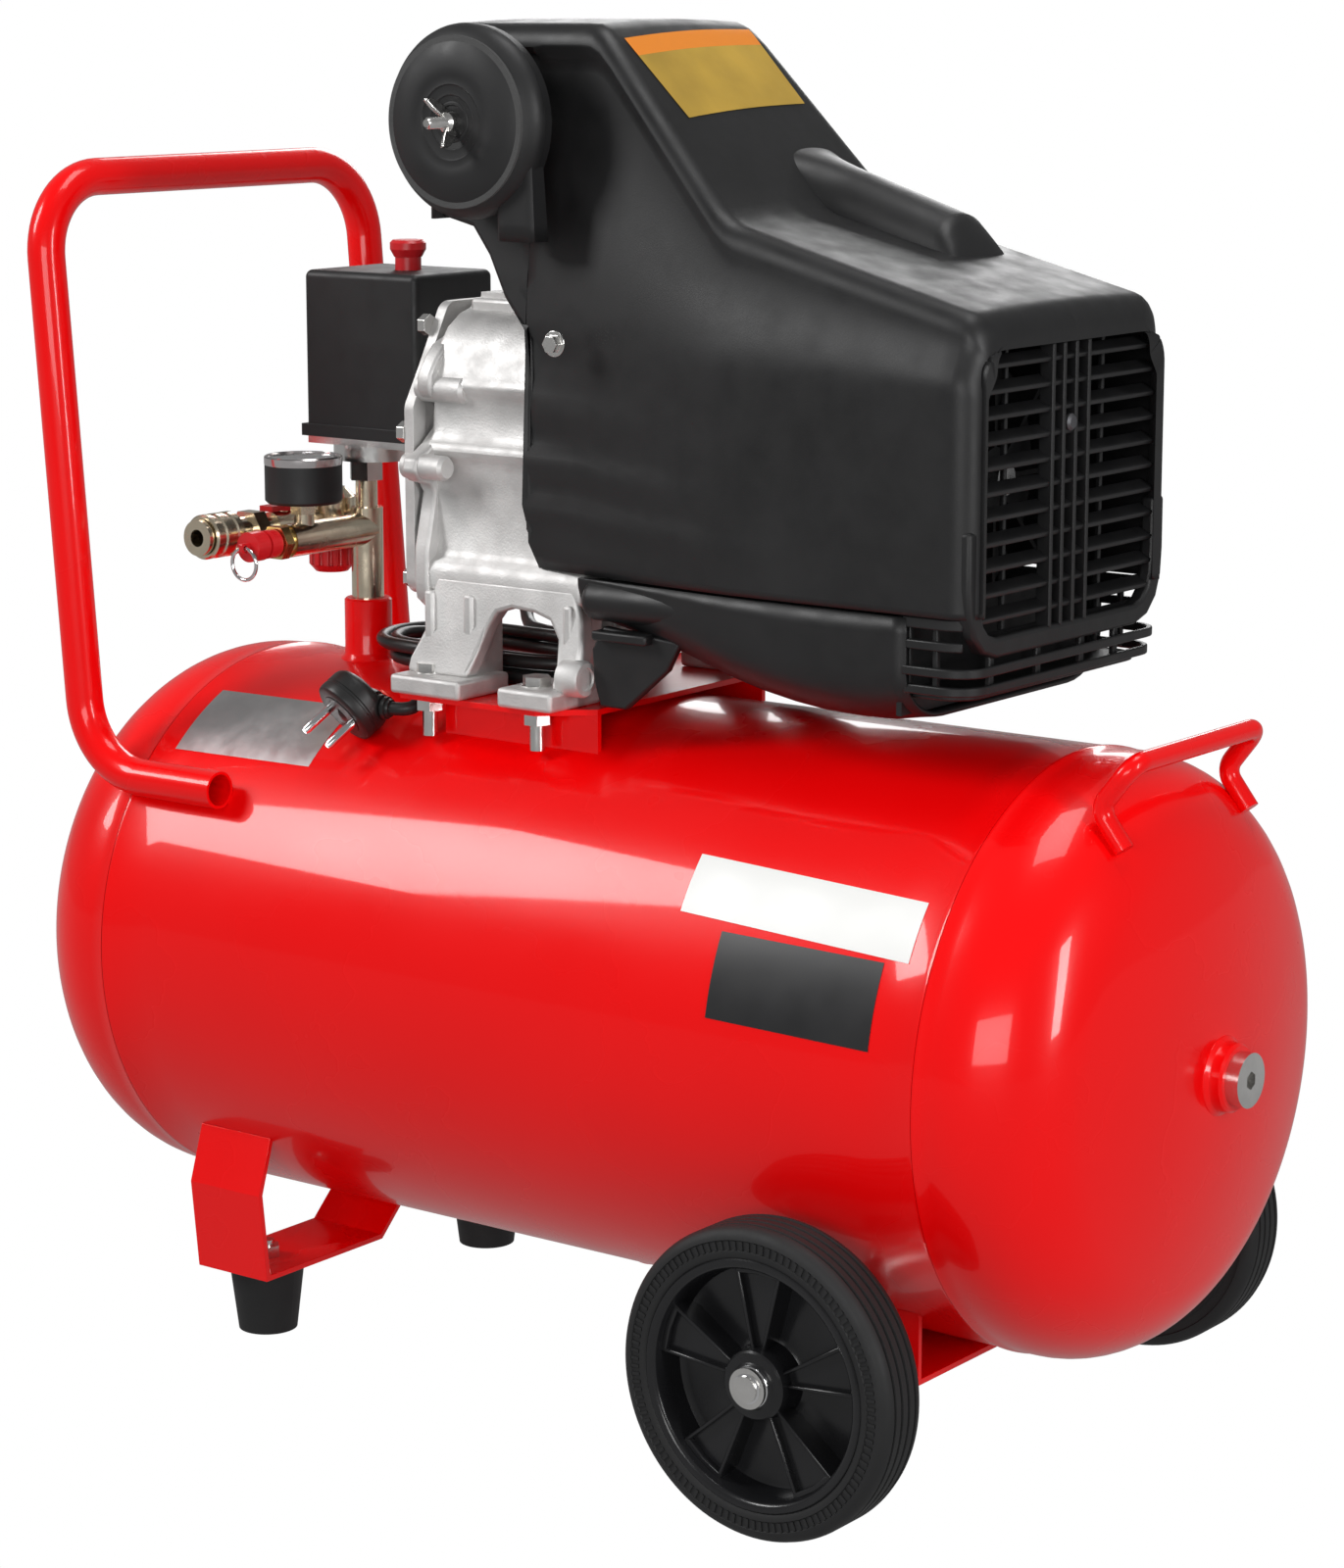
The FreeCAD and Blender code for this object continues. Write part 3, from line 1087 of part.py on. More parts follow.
def make_filter():
    """The intake filter: base with its snorkel, element, cover and wing bolt."""
    at = ("pump_at", "0", "filter_height")
    base = rod("filter_radius - 2", "filter_base_wide - 4", ("0", "0", "-filter_back"))
    rim = rod("filter_radius - 4", "4", ("0", "0", "-filter_back + filter_base_wide - 4"))
    spout = block("22", "52", "filter_base_wide - 3.5", ("20", "-57", "-filter_back + 2.5"))
    hub = rod("12", "6", ("0", "0", "-filter_back + filter_base_wide"))
    stud_way = rod("3.1", "60", ("0", "0", "-filter_back - 30"))
    intake = []
    for turn in range(6):
        angle = math.radians(60.0 * turn)
        intake.append(rod("3", "40", ("%.3f" % (7.5 * math.cos(angle)), "%.3f" % (7.5 * math.sin(angle)),
                                      "-filter_back - 20")))
    spout_way = block("17", "60", "filter_base_wide - 4.5", ("22.5", "-60", "-filter_back + 3.7"))
    turn_to_side = ALONG["-Y"]
    node("filter_base", cut(join(base, rim, spout, hub), stud_way, spout_way, *intake), at, turn_to_side)

    seat = "-filter_back + filter_base_wide"
    depth = "(-filter_face + filter_back - filter_base_wide)"
    cover = turned([
        ("3.4", "%s + %s - 3" % (seat, depth)),
        ("16", "%s + %s - 3" % (seat, depth)),
        ("20", "%s + %s - 2.5" % (seat, depth)),
        ("filter_radius - 2.5", "%s + %s - 2.5" % (seat, depth)),
        ("filter_radius - 2.5", seat),
        ("filter_radius", seat),
        ("filter_radius", "%s + %s - 5" % (seat, depth)),
        ("filter_radius - 3", "%s + %s - 1" % (seat, depth)),
        ("filter_radius - 9", "%s + %s" % (seat, depth)),
        ("22", "%s + %s" % (seat, depth)),
        ("18", "%s + %s - 1" % (seat, depth)),
        ("3.4", "%s + %s - 1" % (seat, depth)),
    ])
    node("filter_cover", cover, at, turn_to_side)

    ring_out = rod("filter_radius - 6", depth + " - 3.5", ("0", "0", seat + " + 0.3"))
    ring_in = rod("14", depth, ("0", "0", seat))
    node("filter_element", cut(ring_out, ring_in), at, turn_to_side)

    nut_at = "%s + %s + 0.5" % (seat, depth)
    hub_nut = taper("7", "5", "7", ("0", "0", nut_at))
    wing = block("3", "26", "9", ("-1.5", "-13", nut_at + " + 2"))
    stud = rod("3", "40", ("0", "0", nut_at + " - 22"))
    node("filter_wing_bolt", join(stud, hub_nut, wing), at, turn_to_side * Rotation(Vector(0, 0, 1), 20))


# ----------------------------------------------------------- pressure switch

def make_switch():
    """The pressure switch over the column, with its cover, knob and gland."""
    wide = "switch_far - switch_near"
    plate = block("2 * switch_half - 2", wide + " - 2", "4", ("switch_at - switch_half + 1", "switch_near + 1",
                                                              "switch_low - 4"))
    bell = rod("22", "10", ("post_at + 6", "0", "switch_low - 14"))
    neck = hexagon("17", "13", ("post_at", "0", "switch_low - 26"), turn=15)
    works = block("2 * switch_half - 22", wide + " - 22", "50", ("switch_at - switch_half + 11", "switch_near + 11",
                                                                 "switch_low"))
    stud_way = rod("6.2", "16", ("post_at", "0", "switch_low - 27"))
    knob_way = rod("knob_stem + 1", "60", ("knob_at", "0", "switch_low + 30"))
    node("switch_base", cut(join(plate, bell, neck, works), stud_way, knob_way))

    lip = block("2 * switch_half + 3", wide + " + 3", "switch_lip",
                ("switch_at - switch_half - 1.5", "switch_near - 1.5", "switch_low"))
    box = rounded(block("2 * switch_half", wide, "switch_top - switch_low",
                        ("switch_at - switch_half", "switch_near", "switch_low")), 4,
                  lambda edge: abs(edge.tangentAt(edge.FirstParameter).z) > 0.99 or edge.BoundBox.ZMin > size("switch_top") - 8)
    hollow = block("2 * switch_half - 10", wide + " - 10", "switch_top - switch_low - 4",
                   ("switch_at - switch_half + 5", "switch_near + 5", "switch_low - 1"))
    gland_hole = rod("6.2", "12", ("gland_at", "switch_far - 8", "gland_high"), "Y")
    knob_hole = rod("knob_stem + 0.3", "20", ("knob_at", "0", "switch_top - 10"))
    node("switch_cover", cut(join(lip, box), hollow, knob_hole, gland_hole))

    stem = rod("knob_stem", "20", ("0", "0", "-10"))
    flare = taper("knob_stem + 0.5", "knob_radius", "4", ("0", "0", "7"))
    cap = rod("knob_radius", "3.5", ("0", "0", "11"))
    crown = taper("knob_radius", "knob_radius - 1.5", "1.5", ("0", "0", "14.5"))
    node("switch_knob", join(stem, flare, cap, crown), ("knob_at", "0", "switch_top"))


# ------------------------------------------------------------------ manifold

def make_manifold():
    """Brass column on the post, main arm, regulator housing and outlet valve."""
    foot = rod("column_radius", "arm_height + 12 - post_top", ("post_at", "0", "post_top"))
    thread = rod("post_bore - 0.1", "14", ("post_at", "0", "post_top - 14"))
    upper = rod("6", "switch_low - 12 - arm_height", ("post_at", "0", "arm_height"))
    arm = rod("arm_radius", "arm_long", ("post_at", "0", "arm_height"), "-Y")
    tee = rod("5.5", "gauge_low - arm_height - 6", ("post_at", "gauge_side", "arm_height"))
    link = rod("5.5", "post_at - second_at", ("second_at", "0", "outlet_height"), "X")
    housing = rod("regulator_radius", "22", ("second_at", "0", "outlet_height - 10"))
    cap = taper("regulator_radius - 1", "regulator_radius - 6", "5", ("second_at", "0", "outlet_height + 12"))
    outlet = rod("5.5", "-coupler_from", ("second_at", "0", "outlet_height"), "-Y")
    valve = rod("outlet_radius", "22", ("second_at", "-28", "outlet_height"), "-Y")
    valve_hex = hexagon("15", "7", ("second_at", "-20", "outlet_height"), "-Y")
    stem = rod("3", "outlet_radius + 4.5", ("second_at", "-40", "outlet_height"))
    gauge_nut = hexagon("13", "5.7", ("post_at", "gauge_side", "gauge_low - 6"))
    gauge_seat = rod("3.85", "8", ("post_at", "gauge_side", "gauge_low - 6"))
    way = rod("4", "switch_low - 12 - post_top + 40", ("post_at", "0", "post_top - 20"))
    arm_way = rod("3.5", "arm_long + 2", ("post_at", "0", "arm_height"), "-Y")
    link_way = rod("2.8", "post_at - second_at", ("second_at", "0", "outlet_height"), "X")
    out_way = rod("2.8", "-coupler_from + 2", ("second_at", "0", "outlet_height"), "-Y")
    knob_way = rod("4.3", "30", ("second_at", "0", "outlet_height - 31"))
    gauge_way = rod("2.2", "40", ("post_at", "gauge_side", "arm_height"))
    node("manifold", cut(join(foot, thread, upper, arm, tee, link, housing, cap, outlet, valve, valve_hex, stem,
                              gauge_nut), gauge_seat, way, arm_way, link_way, out_way, knob_way, gauge_way))

    boss = rod("5.5", "4", ("0", "0", "0"))
    bar = block("9", "26", "3", ("-4.5", "-13", "0.3"))
    hole = rod("3.1", "10", ("0", "0", "-1"))
    node("outlet_lever", cut(join(boss, bar), hole), ("second_at", "-40", "outlet_height + outlet_radius + 0.3"))

    grip = rod("12.5", "15", ("0", "0", "-15"))
    dish_part = taper("9", "12.5", "4", ("0", "0", "-19"))
    stem = rod("4.2", "12", ("0", "0", "-4"))
    notches = around(rod("1.4", "15.5", ("12.5", "0", "-15.2")), 14, Vector(0, 0, 1))
    node("regulator_knob", cut(join(grip, dish_part, stem), *notches),
         ("second_at", "0", "outlet_height - 10.4"))


def make_gauge():
    """The pressure gauge: nut and case, needle, lens."""
    low, tall = "gauge_low", "gauge_tall"
    stem = rod("3.8", "8", ("0", "0", "-6"))
    case = turned([
        ("0", "0"),
        ("gauge_radius - 1.5", "0"),
        ("gauge_radius", "1.5"),
        ("gauge_radius", tall),
        ("gauge_radius - 1.5", tall),
        ("gauge_radius - 1.5", tall + " - 7"),
        ("0", tall + " - 7"),
    ])
    post = rod("1.2", "3", ("0", "0", tall + " - 7.5"))
    inlet = rod("2.2", "8", ("0", "0", "-6.5"))
    node("gauge_case", cut(join(stem, case, post), inlet), ("post_at", "gauge_side", low))

    boss = rod("2.6", "1.6", ("0", "0", "0"))
    pointer = block("gauge_radius - 8", "1.4", "0.8", ("0", "-0.7", "0.4"))
    tail = block("6", "2.2", "0.8", ("-6", "-1.1", "0.4"))
    hole = rod("1.25", "4", ("0", "0", "-1"))
    node("gauge_needle", cut(join(boss, pointer, tail), hole),
         ("post_at", "gauge_side", "gauge_low + gauge_tall - 6.2"), Rotation(Vector(0, 0, 1), -135))

    node("gauge_lens", rod("gauge_radius - 1.5", "2", ("0", "0", "0")),
         ("post_at", "gauge_side", "gauge_low + gauge_tall - 2.6"))


def make_safety_valve():
    """Safety valve at the end of the main arm, with its pull cap and ring."""
    start = "-arm_long"
    body = rod("7", "5", ("post_at", start, "arm_height"), "-Y")
    flats = hexagon("17", "6", ("post_at", start + " - 3", "arm_height"), "-Y")
    stem = rod("3", "14", ("post_at", start + " - 3", "arm_height"), "-Y")
    way = rod("3.4", "5", ("post_at", start + " + 0.1", "arm_height"), "-Y")
    node("safety_valve", cut(join(body, flats, stem), way))

    skirt = rod("7.6", "8", ("0", "0", "0"))
    waist = rod("6.4", "12", ("0", "0", "0"))
    crown = rod("8", "9.5", ("0", "0", "10"))
    hollow = rod("3.2", "9", ("0", "0", "-1"))
    tab = rounded(block("2.4", "5", "6", ("-1.2", "-2.5", "eye_out - 3.4")), 1,
                  lambda edge: edge.BoundBox.ZMin > size("eye_out") + 1.7 and edge.BoundBox.XLength > 2)
    eye = rod("1.6", "30", ("-15", "0", "eye_out"), "X")
    node("safety_cap", cut(join(skirt, waist, crown, tab), hollow, eye),
         ("post_at", "-arm_long - cap_out", "arm_height"), ALONG["-Y"])

    node("safety_ring", ring("key_ring", "1", ("0", "0", "0")),
         ("post_at", "-arm_long - cap_out - eye_out", "arm_height - key_ring"), ALONG["Y"])


def make_coupler():
    """Quick coupler: fixed body and the sleeve that is pulled back."""
    long = "coupler_from - coupler_tip"
    body = rod("coupler_radius", long, ("second_at", "coupler_from", "outlet_height"), "-Y")
    flats = hexagon("20", "9", ("second_at", "coupler_from - 2", "outlet_height"), "-Y")
    lip = rod("9.6", "3", ("second_at", "coupler_tip + 3", "outlet_height"), "-Y")
    way = rod("4.6", long + " + 2", ("second_at", "coupler_from + 1", "outlet_height"), "-Y")
    node("coupler_body", cut(join(body, flats, lip), way))

    sleeve = turned([
        ("coupler_radius + 0.1", "0"),
        ("sleeve_radius - 1", "0"),
        ("sleeve_radius", "1"),
        ("sleeve_radius", "5"),
        ("sleeve_radius - 0.8", "6"),
        ("sleeve_radius - 0.8", "8"),
        ("sleeve_radius", "9"),
        ("sleeve_radius", "sleeve_long - 8"),
        ("sleeve_radius - 0.8", "sleeve_long - 7"),
        ("sleeve_radius - 0.8", "sleeve_long - 5"),
        ("sleeve_radius", "sleeve_long - 4"),
        ("sleeve_radius", "sleeve_long - 1"),
        ("sleeve_radius - 1", "sleeve_long"),
        ("coupler_radius + 0.1", "sleeve_long"),
    ])
    node("coupler_sleeve", sleeve, ("second_at", "coupler_tip + 4 + sleeve_long", "outlet_height"), ALONG["-Y"])


# ------------------------------------------------------------- tubes and cord

def make_air_tubes():
    """Check valve, delivery tube from the head and the thin unloader tube."""
    base = "inlet_top"
    nut = hexagon("20", "12", ("inlet_at", "inlet_side", base))
    body = rod("8.5", "36", ("inlet_at", "inlet_side", base))
    thread = rod("inlet_bore - 0.1", "12", ("inlet_at", "inlet_side", base + " - 12"))
    top_nut = hexagon("17", "10", ("inlet_at", "inlet_side", base + " + 26"))
    port = rod("4", "12", ("inlet_at", "inlet_side", base + " + 18"), "-Y")
    way = rod("3.5", "26", ("inlet_at", "inlet_side", base + " - 13"))
    node("check_valve", cut(join(nut, body, thread, top_nut, port), way))

    at, side, start = size("pump_at") - 14, size("air_tube_out"), size("head_half") + 12
    low = size("case_floor") + 22
    delivery = [
        Vector(at, start, size("filter_height")),
        Vector(at, side, size("filter_height")),
        Vector(at, side, low),
        Vector(size("inlet_at"), size("inlet_side"), low),
        Vector(size("inlet_at"), size("inlet_side"), size("inlet_top") + 36),
    ]
    outer = bent_rod(delivery, [22, 20, 18], size("air_tube"))
    inner = bent_rod(delivery, [22, 20, 18], size("air_tube") - 1)
    node("discharge_tube", still(outer.cut(inner), "Delivery"))

    thin = [
        Vector(size("inlet_at"), size("inlet_side") - 12, size("inlet_top") + 18),
        Vector(size("inlet_at"), size("inlet_side") - 26, size("inlet_top") + 18),
        Vector(size("inlet_at") - 22, 50, 412),
        Vector(size("inlet_at") - 46, 42, 446),
        Vector(size("post_at") + 6, 38, 469),
        Vector(size("post_at") + 6, 22, 469),
    ]
    node("unloader_tube", still(bent_rod(thin, [10, 14, 18, 8], size("unload_tube")), "Unloader"))


def cord_tube(label, route):
    """A cord's tube: each bend is as large as its two runs allow."""
    radii = []
    for before, corner, after in zip(route, route[1:], route[2:]):
        turn = (corner - before).getAngle(after - corner)
        shorter = min((corner - before).Length, (after - corner).Length)
        radii.append(0.45 * shorter / math.tan(turn / 2))
    shape = bent_rod(route, radii, size("cord_radius"))
    path = bent_path(route, radii)
    share = shape.Volume / (math.pi * size("cord_radius") ** 2 * path.Length)
    print("%s: %.0f mm long, radii %s, volume share %.4f"
          % (label, path.Length, " ".join("%.0f" % radius for radius in radii), share))
    node(label, still(shape, label + "_shape"))


# Where the plug lies on the tank: the middle of its strain relief's end, and the
# way that it points.
PLUG_FACE = Vector(-132.8, -97.1, 348.3)
PLUG_AXIS = Vector(0.29, 0.75, 0.59).normalize()
PLUG_MIDDLE = PLUG_FACE + PLUG_AXIS * 9
PLUG_END = Vector(-108, -86.8, 353.1)
PLUG_WAY = (PLUG_END - PLUG_MIDDLE).normalize()


def make_cord():
    """Gland, fed cord, coiled cord, tail and plug."""
    flange = rod("9", "gland_long - 9", ("gland_at", "switch_far", "gland_high"), "Y")
    neck = taper("8", "6", "9", ("gland_at", "switch_far + gland_long - 9", "gland_high"), "Y")
    shank = rod("6", "6", ("gland_at", "switch_far - 6", "gland_high"), "Y")
    node("cord_gland", join(flange, neck, shank))

    gland = Vector(size("gland_at"), size("switch_far") + size("gland_long"), size("gland_high"))
    coil_side = size("coil_outer")
    coil_high = size("coil_low") + size("coil_tall") / 2
    cord_tube("cord_feed", [
        gland,
        Vector(-186, 78, 500),
        Vector(-185, 92, 484),
        Vector(-183, 97, 462),
        Vector(-180, 94, 438),
        Vector(-173, 87, 415),
        Vector(-158, 80, 396),
        Vector(-141, 72, 381),
        Vector(-130, 60, coil_high),
        Vector(-130, coil_side, coil_high),
    ])

    def stadium(radius, low, tall):
        long = "coil_to - coil_from"
        return join(rod(radius, tall, ("coil_from", "0", low)),
                    rod(radius, tall, ("coil_to", "0", low)),
                    block(long, "2 * " + radius, tall, ("coil_from", "-" + radius, low)))

    node("cord_coil", cut(stadium("coil_outer", "coil_low", "coil_tall"),
                          stadium("coil_inner", "coil_low - 1", "coil_tall + 2")))

    cord_tube("cord_tail", [
        PLUG_END,
        PLUG_END + PLUG_WAY * 11,
        Vector(-96, -74.5, 355.5),
        Vector(-105, -65, 366),
        Vector(-105, -54, coil_high),
        Vector(-105, -coil_side, coil_high),
    ])

    face = taper("plug_radius - 1.5", "plug_radius", "1.5", ("0", "0", "0"))
    disc = rod("plug_radius", "13", ("0", "0", "1.5"))
    back = taper("plug_radius", "plug_radius - 5", "4", ("0", "0", "14.5"))
    pins = [rod("plug_pin", "19", ("%splug_pin_gap / 2" % side, "0", "-19")) for side in ("", "-")]
    turn = Rotation(Vector(0, 0, 1), PLUG_AXIS)
    head = join(face, disc, back, *pins)
    place(head, ["%.3f" % part for part in PLUG_FACE], turn)
    arm = taper("9", "5.6", "%.3f" % (PLUG_END - PLUG_MIDDLE).Length, ("0", "0", "0"))
    place(arm, ["%.3f" % part for part in PLUG_MIDDLE], Rotation(Vector(0, 0, 1), PLUG_WAY))
    node("mains_plug", join(head, arm))


make_tank()
make_foot_bracket()
make_feet()
make_hex_bolts()
make_axle_bracket()
make_wheels()
make_main_handle()
make_grab_handle()
make_base_plate()
make_crankcase()
make_crankcase_cover()
make_case_screws()
make_cylinder()
make_crank_train()
make_motor()
make_capacitor()
make_shroud()
make_tray()
make_filter()
make_switch()
make_manifold()
make_gauge()
make_safety_valve()
make_coupler()
make_air_tubes()
make_cord()


# -------------------------------------------------------------------- export

doc.recompute()
for thing in doc.Objects:
    if {"Invalid", "Error"} & set(thing.State):
        raise RuntimeError("%s (%s) did not build" % (thing.Label, thing.Name))
for thing in NODES:
    if thing.Shape.isNull() or not thing.Shape.isValid():
        raise RuntimeError("%s has no valid shape" % thing.Label)
os.makedirs("parts", exist_ok=True)
for thing in NODES:
    thing.Shape.exportStep(os.path.join("parts", thing.Label + ".step"))
print("%d pieces" % len(NODES))
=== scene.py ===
"""Looks of a wheeled air compressor: red tank, black shroud, cast pump and fittings."""

import json
import math

import bmesh
import bpy
from mathutils import Matrix, Vector

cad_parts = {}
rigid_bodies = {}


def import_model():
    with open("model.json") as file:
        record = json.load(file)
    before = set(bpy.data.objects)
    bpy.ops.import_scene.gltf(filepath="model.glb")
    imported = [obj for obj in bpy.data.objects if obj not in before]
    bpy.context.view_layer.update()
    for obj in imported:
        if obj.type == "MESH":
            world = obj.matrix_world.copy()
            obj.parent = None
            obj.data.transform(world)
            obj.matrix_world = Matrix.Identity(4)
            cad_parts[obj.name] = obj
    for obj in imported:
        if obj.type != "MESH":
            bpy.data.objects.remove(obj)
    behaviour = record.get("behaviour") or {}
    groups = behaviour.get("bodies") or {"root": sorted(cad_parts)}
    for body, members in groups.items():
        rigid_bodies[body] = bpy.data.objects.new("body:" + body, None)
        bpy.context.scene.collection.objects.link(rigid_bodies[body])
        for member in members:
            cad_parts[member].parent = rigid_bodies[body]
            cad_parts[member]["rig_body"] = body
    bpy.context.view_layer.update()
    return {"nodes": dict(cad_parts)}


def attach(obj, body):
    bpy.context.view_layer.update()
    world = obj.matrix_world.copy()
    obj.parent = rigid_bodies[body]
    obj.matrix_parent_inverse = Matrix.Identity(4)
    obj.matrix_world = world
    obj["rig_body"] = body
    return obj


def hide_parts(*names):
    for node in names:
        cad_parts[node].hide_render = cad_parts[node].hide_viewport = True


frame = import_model()
NODES = frame["nodes"]
MM = 0.001
SHIFT = Vector((-7.5, 0, 0))     # the tank's middle in the machine's frame, mm


def spot(x, y, z):
    """A point given from the tank's middle in mm, in the frame's metres."""
    return (Vector((x, y, z)) + SHIFT) * MM


# ---------------------------------------------------------------- the camera

CAMERA_PLACE = (1232.6, -1637.5, 723.1)
CAMERA_DOWN = 11.40
CAMERA_ROUND = 36.74
LENS = 91.53
FRAME_SHIFT = 0.0024


def make_camera():
    """The scene's camera: above the near side, looking towards the rear head."""
    camera = bpy.data.objects.new("camera", bpy.data.cameras.new("camera"))
    bpy.context.scene.collection.objects.link(camera)
    camera.location = spot(*CAMERA_PLACE)
    camera.rotation_euler = (math.radians(90 - CAMERA_DOWN), 0, math.radians(CAMERA_ROUND))
    camera.data.lens = LENS
    camera.data.shift_y = FRAME_SHIFT
    camera.data.clip_start = 0.1
    camera.data.clip_end = 30
    bpy.context.scene.camera = camera


make_camera()


# ------------------------------------------------------------------ materials

def shader_of(name, colour, roughness, **sockets):
    """A new material with one Principled shader."""
    material = bpy.data.materials.new(name)
    material.use_nodes = True
    shader = material.node_tree.nodes["Principled BSDF"]
    shader.inputs["Base Color"].default_value = (*colour, 1)
    shader.inputs["Roughness"].default_value = roughness
    for socket, value in sockets.items():
        shader.inputs[socket.replace("_", " ")].default_value = value
    return material


def noise_on(material, scale, detail=3, stretch=(1, 1, 1)):
    """A noise texture on the object's own coordinates."""
    tree = material.node_tree
    place = tree.nodes.new("ShaderNodeTexCoord")
    turn = tree.nodes.new("ShaderNodeMapping")
    noise = tree.nodes.new("ShaderNodeTexNoise")
    turn.inputs["Scale"].default_value = stretch
    noise.inputs["Scale"].default_value = scale
    noise.inputs["Detail"].default_value = detail
    tree.links.new(place.outputs["Object"], turn.inputs["Vector"])
    tree.links.new(turn.outputs["Vector"], noise.inputs["Vector"])
    return noise


def bumpy(material, noise, strength, depth):
    """Lets a texture raise and lower the surface; a second call adds to the first."""
    tree = material.node_tree
    shader = tree.nodes["Principled BSDF"]
    bump = tree.nodes.new("ShaderNodeBump")
    bump.inputs["Strength"].default_value = strength
    bump.inputs["Distance"].default_value = depth
    before = shader.inputs["Normal"].links
    if before:
        tree.links.new(before[0].from_socket, bump.inputs["Normal"])
    tree.links.new(noise.outputs[0], bump.inputs["Height"])
    tree.links.new(bump.outputs["Normal"], shader.inputs["Normal"])


def uneven(material, noise, socket, low, high):
    """Lets a texture vary a number such as the roughness."""
    tree = material.node_tree
    spread = tree.nodes.new("ShaderNodeMapRange")
    spread.inputs["From Min"].default_value = 0.3
    spread.inputs["From Max"].default_value = 0.7
    spread.inputs["To Min"].default_value = low
    spread.inputs["To Max"].default_value = high
    tree.links.new(noise.outputs[0], spread.inputs["Value"])
    tree.links.new(spread.outputs["Result"], tree.nodes["Principled BSDF"].inputs[socket])


def two_tone(material, noise, first, second, low=0.35, high=0.65):
    """Lets a texture fade the colour between two tones."""
    tree = material.node_tree
    ramp = tree.nodes.new("ShaderNodeValToRGB")
    ramp.color_ramp.elements[0].position = low
    ramp.color_ramp.elements[0].color = (*first, 1)
    ramp.color_ramp.elements[1].position = high
    ramp.color_ramp.elements[1].color = (*second, 1)
    tree.links.new(noise.outputs[0], ramp.inputs["Fac"])
    tree.links.new(ramp.outputs["Color"], tree.nodes["Principled BSDF"].inputs["Base Color"])


def gloss_paint(name, colour, deep):
    """Powder coat: a clear gloss over a faint orange peel."""
    paint = shader_of(name, colour, 0.30, Specular_IOR_Level=0.15, Coat_Weight=0.42,
                      Coat_Roughness=0.05)
    two_tone(paint, noise_on(paint, 3.0), deep, colour)
    uneven(paint, noise_on(paint, 9.0, 4), "Roughness", 0.22, 0.34)
    bumpy(paint, noise_on(paint, 330.0, 2), 0.10, 0.0003)
    bumpy(paint, noise_on(paint, 26.0, 2), 0.05, 0.002)
    return paint


def moulded(name, colour, roughness, grain_size, depth):
    """Moulded plastic or rubber with a fine spark-eroded grain."""
    plastic = shader_of(name, colour, roughness, Specular_IOR_Level=0.45)
    two_tone(plastic, noise_on(plastic, 14.0, 5), [c * 0.8 for c in colour],
             [c * 1.25 for c in colour])
    uneven(plastic, noise_on(plastic, 60.0, 4), "Roughness", roughness - 0.06, roughness + 0.07)
    bumpy(plastic, noise_on(plastic, grain_size, 2), depth, 0.0004)
    return plastic


def metal(name, colour, roughness, spread, grain_size, depth, stretch=(1, 1, 1)):
    """Bare or plated metal, its gloss a little uneven."""
    bare = shader_of(name, colour, roughness, Metallic=1.0)
    two_tone(bare, noise_on(bare, 40.0, 5), [c * 0.82 for c in colour], colour)
    uneven(bare, noise_on(bare, 90.0, 5, stretch), "Roughness", roughness - spread,
           roughness + spread)
    bumpy(bare, noise_on(bare, grain_size, 3, stretch), depth, 0.0004)
    return bare


RED = gloss_paint("red_powder_coat", (0.93, 0.001, 0.002), (0.86, 0.0006, 0.0012))
SHROUD_BLACK = moulded("shroud_black", (0.008, 0.008, 0.0085), 0.46, 1500.0, 0.10)
GLOSS_BLACK = moulded("rim_black", (0.010, 0.010, 0.011), 0.22, 700.0, 0.04)
SOFT_BLACK = moulded("cover_black", (0.008, 0.008, 0.0085), 0.50, 1800.0, 0.10)
TYRE_BLACK = moulded("tyre_rubber", (0.009, 0.009, 0.0095), 0.62, 900.0, 0.16)
CORD_BLACK = moulded("cord_rubber", (0.012, 0.012, 0.012), 0.40, 1200.0, 0.08)
RED_PLASTIC = moulded("red_plastic", (0.55, 0.012, 0.016), 0.30, 900.0, 0.05)
FOAM = moulded("filter_foam", (0.06, 0.06, 0.06), 0.9, 500.0, 0.8)
CAST = metal("cast_aluminium", (0.74, 0.73, 0.72), 0.62, 0.09, 900.0, 0.35)
MACHINED = metal("machined_steel", (0.60, 0.60, 0.60), 0.24, 0.06, 500.0, 0.10)
ZINC = metal("bright_zinc", (0.80, 0.79, 0.77), 0.20, 0.07, 700.0, 0.10)
CHROME = metal("chrome", (0.86, 0.86, 0.87), 0.09, 0.04, 300.0, 0.03)
IRON = metal("dark_iron", (0.16, 0.16, 0.17), 0.50, 0.10, 600.0, 0.4)
NICKEL = metal("nickelled_brass", (0.78, 0.68, 0.52), 0.22, 0.07, 420.0, 0.12)
BRASS = metal("brass", (0.80, 0.60, 0.26), 0.24, 0.07, 420.0, 0.12)
WHITE_LABEL = shader_of("white_label", (0.82, 0.82, 0.80), 0.35)
BLACK_LABEL = shader_of("black_label", (0.015, 0.015, 0.016), 0.30)
SILVER_LABEL = metal("silver_label", (0.70, 0.70, 0.70), 0.34, 0.05, 300.0, 0.05)
GOLD_LABEL = moulded("gold_label", (0.46, 0.29, 0.04), 0.38, 400.0, 0.03)
ORANGE_LABEL = shader_of("orange_label", (0.85, 0.26, 0.02), 0.35)
for label in (WHITE_LABEL, BLACK_LABEL, ORANGE_LABEL):
    bumpy(label, noise_on(label, 160.0, 3), 0.05, 0.0003)
    uneven(label, noise_on(label, 30.0, 4), "Roughness", 0.28, 0.42)
GLASS = shader_of("clear_lens", (0.95, 0.97, 0.97), 0.05, Transmission_Weight=0.9, IOR=1.49)
uneven(GLASS, noise_on(GLASS, 30.0, 3), "Roughness", 0.03, 0.09)
